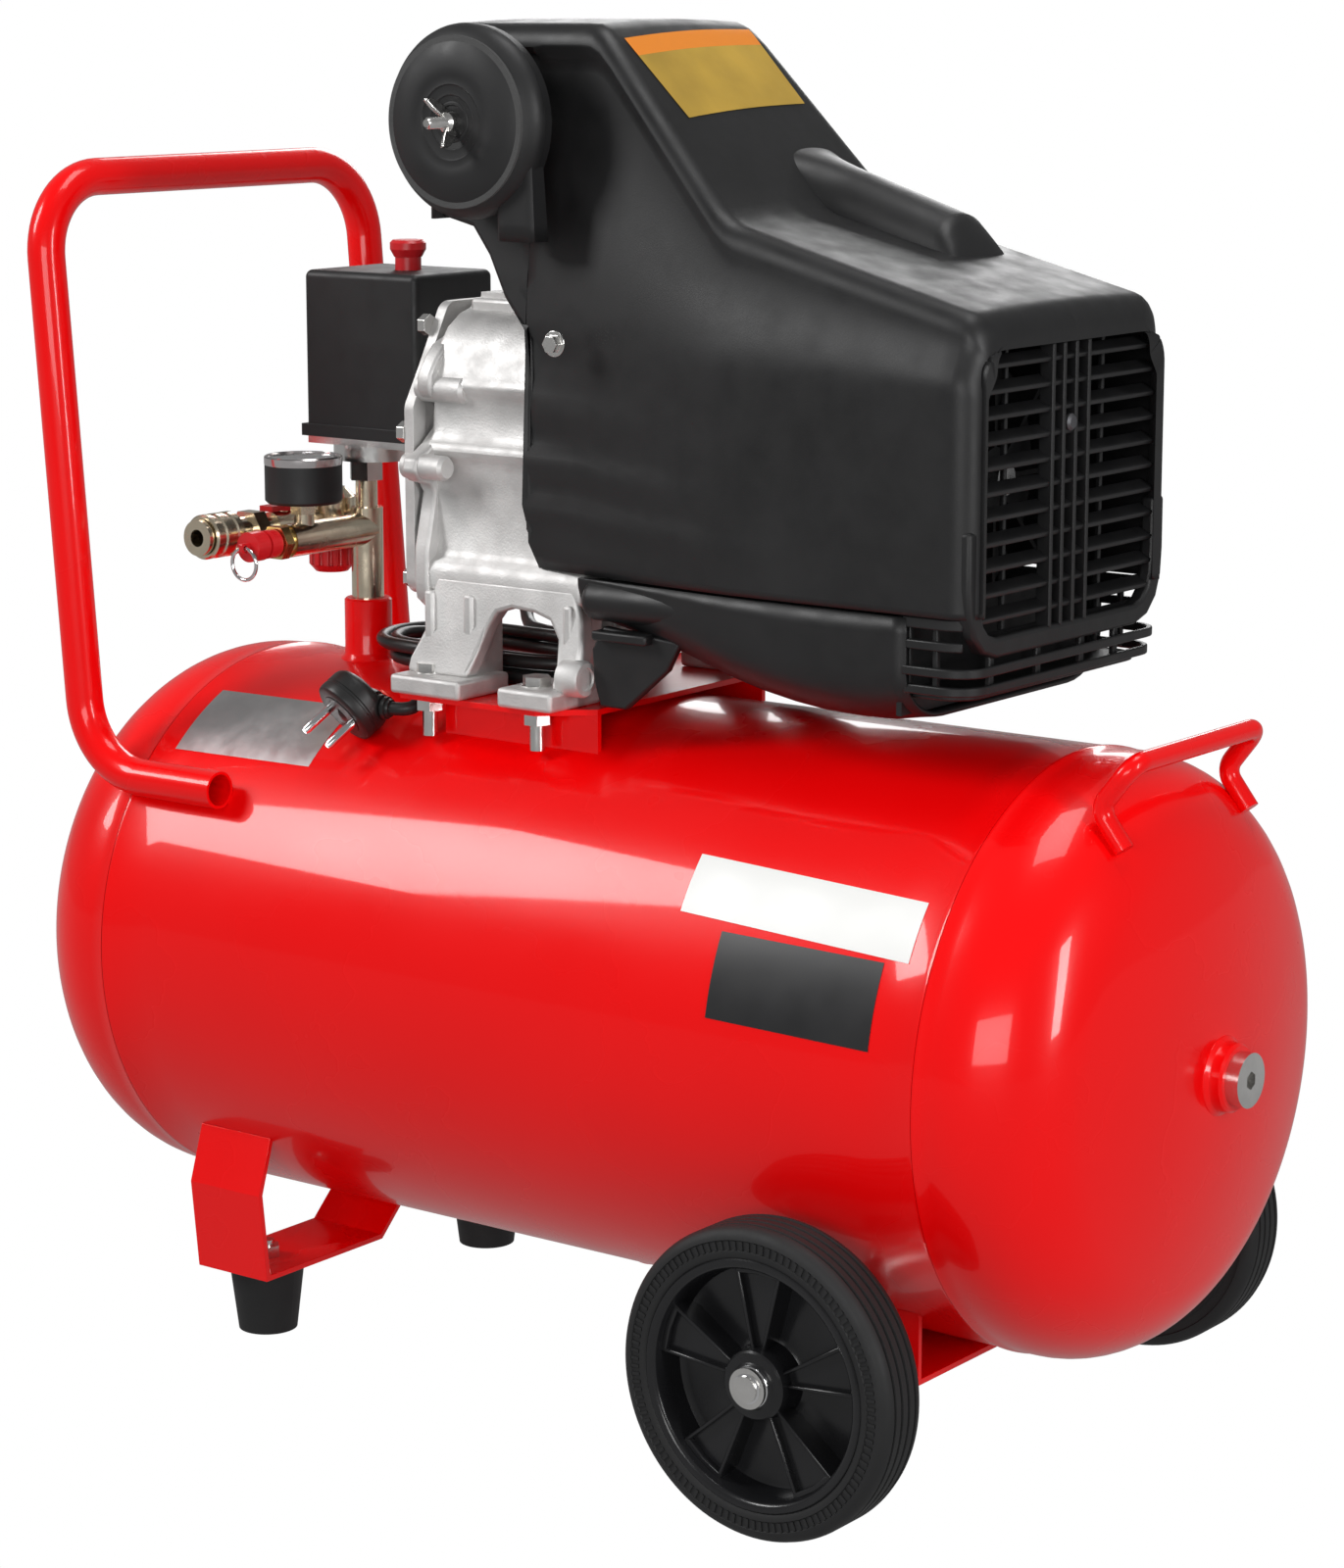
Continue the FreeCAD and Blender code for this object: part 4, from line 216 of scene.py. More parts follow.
SIGHT = shader_of("oil_sight", (0.75, 0.52, 0.10), 0.08, Transmission_Weight=0.4, IOR=1.45)
uneven(SIGHT, noise_on(SIGHT, 60.0, 3), "Roughness", 0.05, 0.14)
PALE_RING = metal("pale_ring", (0.78, 0.74, 0.74), 0.18, 0.05, 400.0, 0.05)
DIAL = shader_of("dial_white", (0.80, 0.80, 0.78), 0.5)
bumpy(DIAL, noise_on(DIAL, 200.0, 2), 0.03, 0.0002)

NODE_FINISH = {
    RED: ["tank_barrel", "tank_head_front", "tank_head_rear", "front_foot_bracket", "axle_bracket",
          "main_handle", "grab_handle", "pump_base_plate"],
    SHROUD_BLACK: ["shroud", "shroud_tray"],
    GLOSS_BLACK: ["wheel_rim_near", "wheel_rim_far"],
    SOFT_BLACK: ["filter_base", "filter_cover", "switch_cover", "cooling_fan", "run_capacitor",
                 "gauge_case"],
    TYRE_BLACK: ["rubber_feet", "tyre_near", "tyre_far"],
    CORD_BLACK: ["mains_plug", "cord_tail", "cord_coil", "cord_feed", "cord_gland"],
    RED_PLASTIC: ["switch_knob", "gauge_needle", "safety_cap", "regulator_knob", "outlet_lever"],
    FOAM: ["filter_element"],
    CAST: ["crankcase", "crankcase_cover", "cylinder", "cylinder_head", "piston", "connecting_rod",
           "motor_end_bell"],
    MACHINED: ["wrist_pin", "rotor_shaft", "motor_bearings", "discharge_tube", "unloader_tube"],
    ZINC: ["hex_bolts", "case_screws", "axle_bolts", "end_plug", "switch_base", "filter_wing_bolt"],
    CHROME: ["safety_ring"],
    IRON: ["motor_stator", "crank_eccentric"],
    NICKEL: ["manifold", "coupler_body", "coupler_sleeve"],
    BRASS: ["check_valve", "drain_cock", "safety_valve"],
    GLASS: ["gauge_lens"],
}


def coat(piece, material):
    """Gives a CAD node its finish."""
    piece.data.materials.clear()
    piece.data.materials.append(material)


for material, names in NODE_FINISH.items():
    for name in names:
        coat(NODES[name], material)


# ----------------------------------------------------------- making new pieces


def finished(name, mesh, material, body="chassis", instead_of=(), smooth=35):
    """Turns a bmesh into a piece that rides on a body."""
    data = bpy.data.meshes.new(name)
    mesh.to_mesh(data)
    mesh.free()
    data.materials.append(material)
    piece = bpy.data.objects.new(name, data)
    bpy.context.scene.collection.objects.link(piece)
    if smooth:
        data.shade_smooth()
        data.set_sharp_from_angle(angle=math.radians(smooth))
    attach(piece, body)
    if instead_of:
        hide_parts(*instead_of)
    return piece


def turned(profile, axis, centre, steps=96, closed=False):
    """Spins a profile of (radius, distance along) mm round an axis through a centre."""
    mesh = bmesh.new()
    axis = Vector(axis).normalized()
    side = axis.orthogonal().normalized()
    points = [mesh.verts.new(centre + (side * radius + axis * along) * MM) for radius,
              along in profile]
    edges = [mesh.edges.new(pair) for pair in zip(points, points[1:])]
    if closed:
        edges.append(mesh.edges.new((points[-1], points[0])))
    bmesh.ops.spin(mesh, geom=points + edges, cent=centre, axis=axis, steps=steps,
                   angle=math.tau, use_merge=True)
    bmesh.ops.remove_doubles(mesh, verts=mesh.verts, dist=2e-6)
    bmesh.ops.recalc_face_normals(mesh, faces=mesh.faces)
    return mesh


def softened(node, width, material, segments=2, angle=30, body=None):
    """A copy of a CAD node with its sharp edges rounded."""
    mesh = bmesh.new()
    mesh.from_mesh(NODES[node].data)
    bmesh.ops.remove_doubles(mesh, verts=mesh.verts, dist=1e-5)
    bmesh.ops.dissolve_limit(mesh, angle_limit=math.radians(1.0), verts=mesh.verts,
                             edges=mesh.edges)
    piece = finished(node + "_soft", mesh, material, body or NODES[node]["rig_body"], [node])
    bevel = piece.modifiers.new("rounding", "BEVEL")
    bevel.width = width * MM
    bevel.segments = segments
    bevel.limit_method = "ANGLE"
    bevel.angle_limit = math.radians(angle)
    bevel.harden_normals = True
    return piece


def edged(piece, width, segments=2, angle=35):
    """Rounds a piece's sharp edges."""
    bevel = piece.modifiers.new("rounding", "BEVEL")
    bevel.width = width * MM
    bevel.segments = segments
    bevel.limit_method = "ANGLE"
    bevel.angle_limit = math.radians(angle)
    return piece


def walled(piece, thickness, offset=-1):
    """Gives a skin its wall in mm, behind the skin at -1 and in front of it at 1."""
    wall = piece.modifiers.new("wall", "SOLIDIFY")
    wall.thickness = thickness * MM
    wall.offset = offset
    return piece


def box(mesh, size, centre, tilt=0):
    """Adds a block, sized in mm and tilted in degrees about the machine's width."""
    verts = bmesh.ops.create_cube(mesh, size=1.0)["verts"]
    bmesh.ops.scale(mesh, verts=verts, vec=[length * MM for length in size])
    if tilt:
        bmesh.ops.rotate(mesh, verts=verts, matrix=Matrix.Rotation(math.radians(tilt), 3, "Y"))
    bmesh.ops.translate(mesh, verts=verts, vec=spot(*centre))


def slab(mesh, corners, way):
    """Adds a flat outline of places, given a thickness along a way in mm."""
    face = mesh.faces.new([mesh.verts.new(corner) for corner in corners])
    grown = bmesh.ops.extrude_face_region(mesh, geom=[face])
    moved = [part for part in grown["geom"] if isinstance(part, bmesh.types.BMVert)]
    bmesh.ops.translate(mesh, verts=moved, vec=Vector(way) * MM)


def joined(mesh, rings):
    """Closes rings with the same number of corners into one solid."""
    count = len(rings[0])
    for first, last in zip(rings, rings[1:]):
        for corner in range(count):
            after = (corner + 1) % count
            mesh.faces.new((first[corner], first[after], last[after], last[corner]))
    mesh.faces.new(rings[0][::-1])
    mesh.faces.new(rings[-1])


def square_off(path, number, thick):
    """Half a bar's thickness, square to its path at one of the path's points."""
    before = Vector(path[max(number - 1, 0)])
    after = Vector(path[min(number + 1, len(path) - 1)])
    way = (after - before).normalized()
    return Vector((-way.y, way.x)) * thick / 2


# -------------------------------------------------------------------- the cord

CORD = 7.2
FEED = [
    (-186, 58, 500),
    (-186, 78, 500),
    (-185, 92, 484),
    (-183, 97, 462),
    (-180, 94, 438),
    (-173, 87, 415),
    (-158, 80, 396),
    (-143, 70, 384),
    (-129, 54, 378),
    (-112, 43, 376.7),
]
TAIL = [
    (-84, -42, 368.5),
    (-98, -46, 369),
    (-104.5, -55, 368.5),
    (-104, -66, 364),
    (-97.5, -75, 356.5),
    (-96.6, -84.6, 352.8),
    (-108, -86.8, 353.1),
]
COIL_ENDS = (-135, -55)
COIL_TURNS = [(41.2, 376.7), (33.7, 376.5), (33.7, 368.1), (41.2, 368.1)]
PLUG_FACE = spot(-132.8, -97.1, 348.3)
PLUG_AXIS = Vector((0.29, 0.75, 0.59)).normalized()
PLUG_MIDDLE = PLUG_FACE + PLUG_AXIS * 9 * MM
PLUG_END = spot(-108, -86.8, 353.1)
PLUG_WAY = (PLUG_END - PLUG_MIDDLE).normalized()


def coil_points():
    """The coil's turns: two flat layers, wound from the far side."""
    points = []
    per_turn = 14
    for number in range((len(COIL_TURNS) - 1) * per_turn + 7):
        turn, step = divmod(number, per_turn)
        radius, height = COIL_TURNS[turn]
        if step >= per_turn - 3 and turn + 1 < len(COIL_TURNS):
            share = (step - per_turn + 4) / 4
            after, above = COIL_TURNS[turn + 1]
            radius += (after - radius) * share
            height += (above - height) * share
        half = step // 7
        angle = math.radians(90 - half * 180 - (step % 7) * 30)
        end = COIL_ENDS[1 - half]
        points.append((end + radius * math.cos(angle), radius * math.sin(angle), height))
    return points


def make_cord():
    """The mains lead in one length: from the switch, through the coil, to the plug."""
    route = FEED + coil_points() + TAIL
    data = bpy.data.curves.new("mains_lead", "CURVE")
    data.dimensions = "3D"
    spline = data.splines.new("NURBS")
    spline.points.add(len(route) - 1)
    for point, place in zip(spline.points, route):
        point.co = (*spot(*place), 1)
    spline.order_u = 3
    spline.use_endpoint_u = True
    spline.resolution_u = 6
    data.bevel_depth = CORD / 2 * MM
    data.bevel_resolution = 5
    data.use_fill_caps = True
    data.materials.append(CORD_BLACK)
    lead = bpy.data.objects.new("mains_lead", data)
    bpy.context.scene.collection.objects.link(lead)
    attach(lead, "chassis")
    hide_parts("cord_feed", "cord_coil", "cord_tail")
    make_plug()


def make_plug():
    """Round two-pin plug whose ribbed arm leaves it to the side, and its bright pins."""
    disc = [(0, 0), (12, 0), (12.4, 0.5), (16.6, 0.5), (18, 1.4), (18.5, 2.8), (18.5, 6),
            (17.9, 6.5), (17.9, 7.5),
            (18.5, 8), (18.5, 12.8), (18.0, 14.8), (16.4, 16.8), (13.5, 18.2), (0, 18.4)]
    plug = finished("plug_body", turned(disc, PLUG_AXIS, PLUG_FACE, 64), CORD_BLACK,
                    instead_of=["mains_plug"])
    reach = (PLUG_END - PLUG_MIDDLE).length / MM
    arm = [(0, -6), (9.5, -4), (10, 0), (9.6, 8), (9.0, 12), (8.2, 14.2)]
    for groove in range(3):
        start = reach - 9.6 + groove * 3.2
        wide = 7.6 - groove * 0.8
        arm += [(wide, start), (wide - 0.1, start + 1.9), (5.0, start + 2.2), (5.0, start + 2.9)]
    arm += [(4.6, reach + 0.6), (3.8, reach + 1), (0, reach + 1)]
    sleeve = finished("plug_arm", turned(arm, PLUG_WAY, PLUG_MIDDLE, 40), CORD_BLACK)
    across = Vector((0, 0, 1)).rotation_difference(PLUG_AXIS) @ Vector((1, 0, 0))
    for side in (-1, 1):
        pin = turned([(0, -19), (1.6, -19), (2.4, -17.5), (2.4, 1)], PLUG_AXIS,
                     PLUG_FACE + across * side * 9.5 * MM, 24)
        finished("plug_pin_%s" % ("a" if side > 0 else "b"), pin, CHROME)
    return [plug, sleeve]


def make_gland():
    """The tapered, ribbed strain relief where the cord leaves the switch."""
    profile = [(0, 0), (9, 0), (9, 3.2), (8.2, 4), (6.6, 4.4)]
    for rib in range(4):
        start = 5 + rib * 4.6
        profile += [(6.6 - rib * 0.5, start), (6.5 - rib * 0.5, start + 2.8), (4.6, start + 3.3),
                    (4.6, start + 4.2)]
    profile += [(4.8, 24.4), (4.4, 25), (0, 25)]
    mesh = turned(profile, (0, 1, 0), spot(-186, 33, 500), 40)
    finished("strain_relief", mesh, CORD_BLACK, instead_of=["cord_gland"])


make_cord()
make_gland()


# -------------------------------------------------------------------- the tank

TANK_RADIUS = 150
TANK_HEIGHT = 210
SEAM = 260
FLANGE = 12
KNUCKLE = 56
CROWN = 430
DISH = 68


def head_profile():
    """Half section of a pressed head, from its seam to its middle."""
    flange_end = SEAM + FLANGE
    crown_centre = flange_end + DISH - CROWN
    meet = math.atan2(TANK_RADIUS - KNUCKLE, flange_end - crown_centre)
    points = [(TANK_RADIUS + 0.8, SEAM + 0.15), (TANK_RADIUS + 0.7, SEAM + 1.6),
              (TANK_RADIUS, SEAM + 3.4),
              (TANK_RADIUS, flange_end - 3)]
    for step in range(15):
        angle = math.pi / 2 + (meet - math.pi / 2) * step / 14
        points.append((TANK_RADIUS - KNUCKLE + KNUCKLE * math.sin(angle),
                       flange_end + KNUCKLE * math.cos(angle)))
    for step in range(1, 15):
        angle = meet * (1 - step / 14)
        points.append((CROWN * math.sin(angle), crown_centre + CROWN * math.cos(angle)))
    return points


def make_tank():
    """The barrel, its two pressed heads and the threaded bosses on them."""
    middle = spot(0, 0, TANK_HEIGHT)
    half = SEAM - 0.15
    barrel = [(TANK_RADIUS - 3, -half), (TANK_RADIUS + 0.8, -half),
              (TANK_RADIUS + 0.7, -half + 1.6),
              (TANK_RADIUS, -half + 3.4), (TANK_RADIUS, -half + 30), (TANK_RADIUS, half - 30),
              (TANK_RADIUS, half - 3.4), (TANK_RADIUS + 0.7, half - 1.6), (TANK_RADIUS + 0.8, half),
              (TANK_RADIUS - 3, half)]
    finished("tank_shell", turned(barrel, (1, 0, 0), middle, 192), RED, instead_of=["tank_barrel"])
    for name, way in (("tank_head_rear", 1), ("tank_head_front", -1)):
        finished(name + "_skin", turned(head_profile(), (way, 0, 0), middle, 192), RED,
                 instead_of=[name])

    boss = [(20.5, -5), (19.5, 0), (17.4, 1.6), (17, 3), (17, 6.6), (15.8, 8), (11.2, 8), (11.2, 2)]
    finished("inspection_boss",
             turned(boss, (1, 0, 0), spot(SEAM + FLANGE + DISH, 0, TANK_HEIGHT), 64), RED)
    post = [(19, -5), (16, -0.8), (13.6, 1.6), (13, 3.5), (13, 32), (12, 33), (9, 33), (9, 12)]
    finished("outlet_post", turned(post, (0, 0, 1), spot(-198, 0, 360), 48), RED)
    stub = [(15, -34), (10, -26), (10, -0.8), (9.2, 0), (6.3, 0), (6.3, -10)]
    finished("inlet_stub", turned(stub, (0, 0, 1), spot(-118, 88, 362), 40), RED)
    drain = [(15, 4), (12.6, 1), (12, -1), (12, -7.2), (11.2, -8), (5.3, -8), (5.3, -3)]
    finished("drain_boss", turned(drain, (0, 0, 1), spot(0, 0, 60), 40), RED)


# ------------------------------------------------------------------ blank labels

def label_on_tank(name, material, along, span, heights, proud=0.25, slant=0.0):
    """A blank sticker wrapped round the near side of the tank."""
    mesh = bmesh.new()
    grid = bmesh.ops.create_grid(mesh, x_segments=16, y_segments=16, size=0.5)
    low, high = [math.asin((height - TANK_HEIGHT) / (TANK_RADIUS + proud)) for height in heights]
    for vertex in grid["verts"]:
        across, up = vertex.co.x + 0.5, vertex.co.y + 0.5
        angle = low + (high - low) * up + slant * (across - 0.5)
        reach = TANK_RADIUS + proud
        vertex.co = spot(along + span * across, -reach * math.cos(angle),
                         TANK_HEIGHT + reach * math.sin(angle))
    bmesh.ops.recalc_face_normals(mesh, faces=mesh.faces)
    finished(name, mesh, material)


def make_labels():
    """The three blank stickers on the tank."""
    label_on_tank("label_white_strip", WHITE_LABEL, 113, 134, (281, 306.5), slant=-0.045)
    label_on_tank("label_black", BLACK_LABEL, 140, 94, (237.5, 277.5), slant=-0.012)
    label_on_tank("label_silver", SILVER_LABEL, -246.5, 95, (319, 345.5), slant=0.01)


# --------------------------------------------------------------------- the wheels

WHEEL_AT = (197.4, 77)
TREAD = 77
TYRE_BACK = 157.5
TYRE_FACE = 189.3
KNURLS = 110
WEDGES = 5


def tyre_profile():
    """The tyre's section: sidewalls, rounded shoulders and tread grooves."""
    wide = TYRE_FACE - TYRE_BACK
    points = [(62, 0.8), (63.5, 0), (65.5, 0), (66, 0.7), (70.4, 0.7), (70.9, 0), (72.5, 0.3),
              (75, 1.6),
              (76.3, 3.6), (TREAD, 6)]
    for groove in range(4):
        start = 6.6 + groove * 5.6
        points += [(TREAD, start), (TREAD - 1.7, start + 0.5), (TREAD - 1.7, start + 1.5),
                   (TREAD, start + 2.0)]
    right = [(radius, wide - along) for radius, along in points[:10]]
    return points + right[::-1]


def prism(mesh, corners, side, low, high, turn):
    """A block with a flat outline of (out, across) points, standing along the axle."""
    rings = []
    for along in (low, high):
        ring = []
        for out, across in corners:
            x = out * math.cos(turn) - across * math.sin(turn)
            z = out * math.sin(turn) + across * math.cos(turn)
            ring.append(mesh.verts.new(spot(WHEEL_AT[0] + x, side * (TYRE_BACK + along),
                                            WHEEL_AT[1] + z)))
        rings.append(ring)
    joined(mesh, rings)


def make_rim(side, name, body):
    """The dished rim with five raised wedges, each with a rib round it."""
    dish = [(6.2, 31.4), (10.8, 31.4), (11.6, 30.6), (16, 30.2), (17, 29.2), (17.6, 24), (19, 15.5),
            (22, 14),
            (51, 12.5), (54.5, 14), (56.2, 20), (56.6, 29.5), (57.4, 31), (58.6, 31.8), (61.2,
                                                                                         31.8),
            (61.9, 31),
            (61.9, 0.6), (56, 0.6), (55, 8), (20, 9.5), (16.5, 4), (16, -7), (6.2, -7)]
    finished("rim_%s_dish" % name,
             turned(dish, (0, side, 0), spot(WHEEL_AT[0], side * TYRE_BACK, WHEEL_AT[1]),
                                          96, closed=True), GLOSS_BLACK, body, ["wheel_rim_" + name], smooth=35)
    wedges = bmesh.new()
    for number in range(WEDGES):
        turn = math.radians(360 / WEDGES * number + 18)
        prism(wedges, [(15, -2.6), (54, -11.5), (56, 0), (54, 11.5), (15, 2.6)], side, 9, 23, turn)
        prism(wedges, [(15, -3.4), (55.5, -13.2), (55.8, -11), (15, -1.7)], side, 9, 26.5, turn)
        prism(wedges, [(15, 1.7), (55.8, 11), (55.5, 13.2), (15, 3.4)], side, 9, 26.5, turn)
        prism(wedges, [(52.6, -12), (55.8, -12), (56.9, 0), (55.8, 12), (52.6, 12), (53.8, 0)],
              side, 9, 26.5, turn)
    bmesh.ops.recalc_face_normals(wedges, faces=wedges.faces)
    edged(finished("rim_%s_wedges" % name, wedges, GLOSS_BLACK, body, smooth=40), 0.7)


def make_wheel(side, name):
    """One wheel's tyre, with its knurled ring, and its rim."""
    way = (0, side, 0)
    centre = spot(WHEEL_AT[0], side * TYRE_BACK, WHEEL_AT[1])
    body = "wheel_" + name
    tyre = turned(tyre_profile(), way, centre, 128, closed=True)
    for number in range(KNURLS):
        rib = bmesh.ops.create_cube(tyre, size=1.0)
        bmesh.ops.scale(tyre, verts=rib["verts"], vec=(4.4 * MM, 0.7 * MM, 1.5 * MM))
        bmesh.ops.translate(tyre, verts=rib["verts"], vec=(68.2 * MM, 0, 0))
        bmesh.ops.rotate(tyre, verts=rib["verts"],
                         matrix=Matrix.Rotation(math.tau * number / KNURLS, 3, "Y"))
        bmesh.ops.translate(tyre, verts=rib["verts"],
                            vec=spot(WHEEL_AT[0], side * (TYRE_FACE - 0.45), WHEEL_AT[1]))
    finished("tyre_%s_tread" % name, tyre, TYRE_BLACK, body, ["tyre_" + name], smooth=30)
    make_rim(side, name, body)
    cap = [(10.6, -0.4), (10.6, 0.4), (10.2, 1.0)]
    for step in range(1, 7):
        angle = math.radians(15 * step)
        cap.append((9.6 * math.cos(angle), 1.0 + 3.2 * math.sin(angle)))
    return turned(cap, way, spot(WHEEL_AT[0], side * TYRE_FACE, WHEEL_AT[1]), 48)


make_tank()
make_labels()
for side, name in ((-1, "near"), (1, "far")):
    finished("axle_cap_" + name, make_wheel(side, name), CHROME, "wheel_" + name)


# --------------------------------------------------------------------- the shroud

def level(x, stops):
    """A value at x, on straight lines between stops of (x, value)."""
    if x <= stops[0][0]:
        return stops[0][1]
    for (start, first), (end, last) in zip(stops, stops[1:]):
        if x <= end:
            return first + (last - first) * (x - start) / (end - start)
    return stops[-1][1]


def smooth_level(x, stops, reach=7):
    """The same, averaged over a short stretch so that its corners are round."""
    return sum(level(x + reach * step / 4, stops) for step in range(-4, 5)) / 9


ROOF = [(-90, 704), (14, 704.5), (100, 611), (250, 572)]
ROOF_SIDE = [(-90, 66), (14, 67), (100, 80), (250, 84)]
SIDE = [(-90, 74), (30, 84), (110, 91), (250, 91.5)]
LOWER_EDGE = [(-90, 608), (-58, 601), (-50, 577), (-27.2, 552), (-27, 433), (250, 433)]
FRONT_EDGE = [(433, -19), (436, -20), (445, -24.4), (465, -28), (477, -23), (488, -27),
              (497, -24.7), (514, -22),
              (528, -22.6), (542, -14.5), (552, -27)]
FOLDS = [(519, 2.4, 90), (489, 3.4, 130), (466, 3.0, 170), (447, 2.2, 120)]
SHROUD_END = 250
SHROUD_WALL = 2.4
CORNER = 12
GRILLE_HALF = 80
GRILLE_TOP = 557
GRILLE_LOW = 421


def shroud_section(x, share, inset=0.0):
    """A point of the shroud's skin at x; share runs from its near lower edge over the roof."""
    mirror = -1 if share < 0.5 else 1
    share = min(share, 1 - share) * 2
    top = smooth_level(x, ROOF) - inset
    roof = smooth_level(x, ROOF_SIDE) - inset
    side = smooth_level(x, SIDE, 12) - inset
    low = level(x, LOWER_EDGE)
    corner = CORNER
    if share < 0.62:
        z = low + (top - corner - low) * share / 0.62
        lean = max(0.0, min(1.0, (z - 540) / (top - corner - 540)))
        y = side + (roof - side) * lean * lean * (3 - 2 * lean)
        if z < 540:
            y = side
        for crest, deep, long in FOLDS:
            fade = max(0.0, min(1.0, 1 - (x + 27) / long))
            off = z - crest + 0.06 * (x + 27)
            y += deep * fade * math.exp(-(off / (3.5 if off > 0 else 13)) ** 2) - deep * fade * 0.6
    elif share < 0.82:
        turn = (share - 0.62) / 0.20 * math.pi / 2
        y = roof - corner + corner * math.cos(turn)
        z = top - corner + corner * math.sin(turn)
    else:
        y = (roof - corner) * (1 - (share - 0.82) / 0.18)
        z = top + 1.5 * math.sin((share - 0.82) / 0.18 * math.pi / 2)
    return mirror * y, z


def shroud_mesh():
    """The shroud's skin: sections along the machine, closed round the grille."""
    stations = [-90, -86, -78, -66, -54, -42, -34, -27.5, -27, -20, -12, -4, 4, 10, 16, 24, 34, 46,
                60, 74,
                86, 94, 100, 106, 114, 126, 142, 160, 180, 200, 218, 230, 238]
    round_end = [math.radians(angle) for angle in (15, 30, 45, 60, 75, 90)]
    rows = len(stations) + len(round_end) + 2
    across = 132
    mesh = bmesh.new()
    bmesh.ops.create_grid(mesh, x_segments=rows - 1, y_segments=across, size=0.5)
    for vertex in mesh.verts:
        row = round((vertex.co.x + 0.5) * (rows - 1))
        share = vertex.co.y + 0.5
        if row < len(stations):
            x = stations[row]
            y, z = shroud_section(x, share)
            if -27.1 < x < 24 and z < 552:
                x += (level(z, FRONT_EDGE) + 27) * (24 - x) / 51
            if x < -78:
                z -= (1 - math.sqrt(max(0.0,
                                        1 - ((-78 - x) / 12) ** 2))) * 12 * (1 if z > 690 else 0)
        elif row < len(stations) + len(round_end):
            angle = round_end[row - len(stations)]
            x = SHROUD_END - CORNER + CORNER * math.sin(angle)
            y, z = shroud_section(x, share)
            pull = CORNER * (1 - math.cos(angle))
            y -= math.copysign(min(pull, abs(y)), y)
            z = max(432, z - pull * max(0.0, min(1.0, (z - 520) / 40)))
        else:
            depth = row - len(stations) - len(round_end)
            x = SHROUD_END - 5 * depth
            y, z = shroud_section(SHROUD_END, share)
            y = max(-GRILLE_HALF, min(GRILLE_HALF, y))
            z = max(432, min(GRILLE_TOP, z))
            over = math.hypot(max(0.0, abs(y) - GRILLE_HALF + 16), max(0.0, z - GRILLE_TOP + 16))
            if over > 16:
                y = math.copysign(GRILLE_HALF - 16 + max(0.0,
                                                         abs(y) - GRILLE_HALF + 16) * 16 / over, y)
                z = GRILLE_TOP - 16 + max(0.0, z - GRILLE_TOP + 16) * 16 / over
        vertex.co = spot(x, y, z)
    bmesh.ops.recalc_face_normals(mesh, faces=mesh.faces)
    return mesh


def make_shroud():
    """The shroud's skin, the plate that closes its front, the grille and the bulge."""
    skin = finished("shroud_skin", shroud_mesh(), SHROUD_BLACK, instead_of=["shroud"], smooth=50)
    walled(skin, SHROUD_WALL)
    front = bmesh.new()
    bmesh.ops.create_grid(front, x_segments=20, y_segments=6, size=0.5)
    for vertex in front.verts:
        y = vertex.co.x * 2 * 71
        top = 704 - 12 * (1 - math.sqrt(max(0.0, 1 - max(0.0, (abs(y) - 54) / 17) ** 2))) - 6
        z = 606 + (top - 606) * (vertex.co.y + 0.5)
        vertex.co = spot(-89.5, y, z)
    bmesh.ops.recalc_face_normals(front, faces=front.faces)
    walled(finished("shroud_front_plate", front, SHROUD_BLACK), SHROUD_WALL)
    make_grille()
    make_bulge()


def make_grille():
    """Slanted blades across the end opening, with upright bars in the middle."""
    mesh = bmesh.new()
    pitch = 11.9
    count = int((GRILLE_TOP - GRILLE_LOW) / pitch)
    for number in range(count + 1):
        z = GRILLE_TOP - 6 - number * pitch
        squeeze = 6 if number in (0, count) else 0
        box(mesh, (9, 2 * (GRILLE_HALF + 1 - squeeze), 2.6), (SHROUD_END - 6.5, 0, z), tilt=24)
    tall = GRILLE_TOP - GRILLE_LOW
    middle = (GRILLE_TOP + GRILLE_LOW) / 2
    for y in (-17, -7, 4, 15.5):
        box(mesh, (8, 2.4, tall), (SHROUD_END - 5, y, middle))
    for y in (-GRILLE_HALF * 0.55, GRILLE_HALF * 0.55):
        box(mesh, (3, 2.4, tall), (SHROUD_END - 12, y, middle))
    edged(finished("grille_blades", mesh, SHROUD_BLACK, smooth=0), 0.7)
    screw = turned([(0, 0), (4.2, 0), (4.2, 1.4), (3, 2.6), (0, 2.8)], (1, 0, 0),
                   spot(SHROUD_END - 3, 0, 518), 24)
    finished("grille_screw", screw, IRON)


def make_bulge():
    """The half-round swelling on the slope, over the motor's capacitor."""
    mesh = bmesh.new()
    bmesh.ops.create_grid(mesh, x_segments=40, y_segments=24, size=0.5)
    start, end = 48, 178
    for vertex in mesh.verts:
        along, turn = vertex.co.x + 0.5, (vertex.co.y + 0.5) * math.pi
        x = start + (end - start) * along
        base = smooth_level(x, ROOF) - 3
        tail = min(1.0, along / 0.06) ** 0.5 * min(1.0, (1 - along) / 0.10) ** 0.5
        crest = level(x, [(start, 650), (end, 608)]) - base
        radius = 24
        vertex.co = spot(x, 32 - radius * math.cos(turn),
                         base + max(0.0, crest) * math.sin(turn) * tail)
    bmesh.ops.recalc_face_normals(mesh, faces=mesh.faces)
    finished("shroud_bulge", mesh, SHROUD_BLACK)


make_shroud()


SLOPE_LABEL = [(21.4, -54.1, 696.4),
               (17.9, 55.7, 700.2),
               (52.5, 56.7, 662.6),
               (56.8, -48.3, 658.0)]


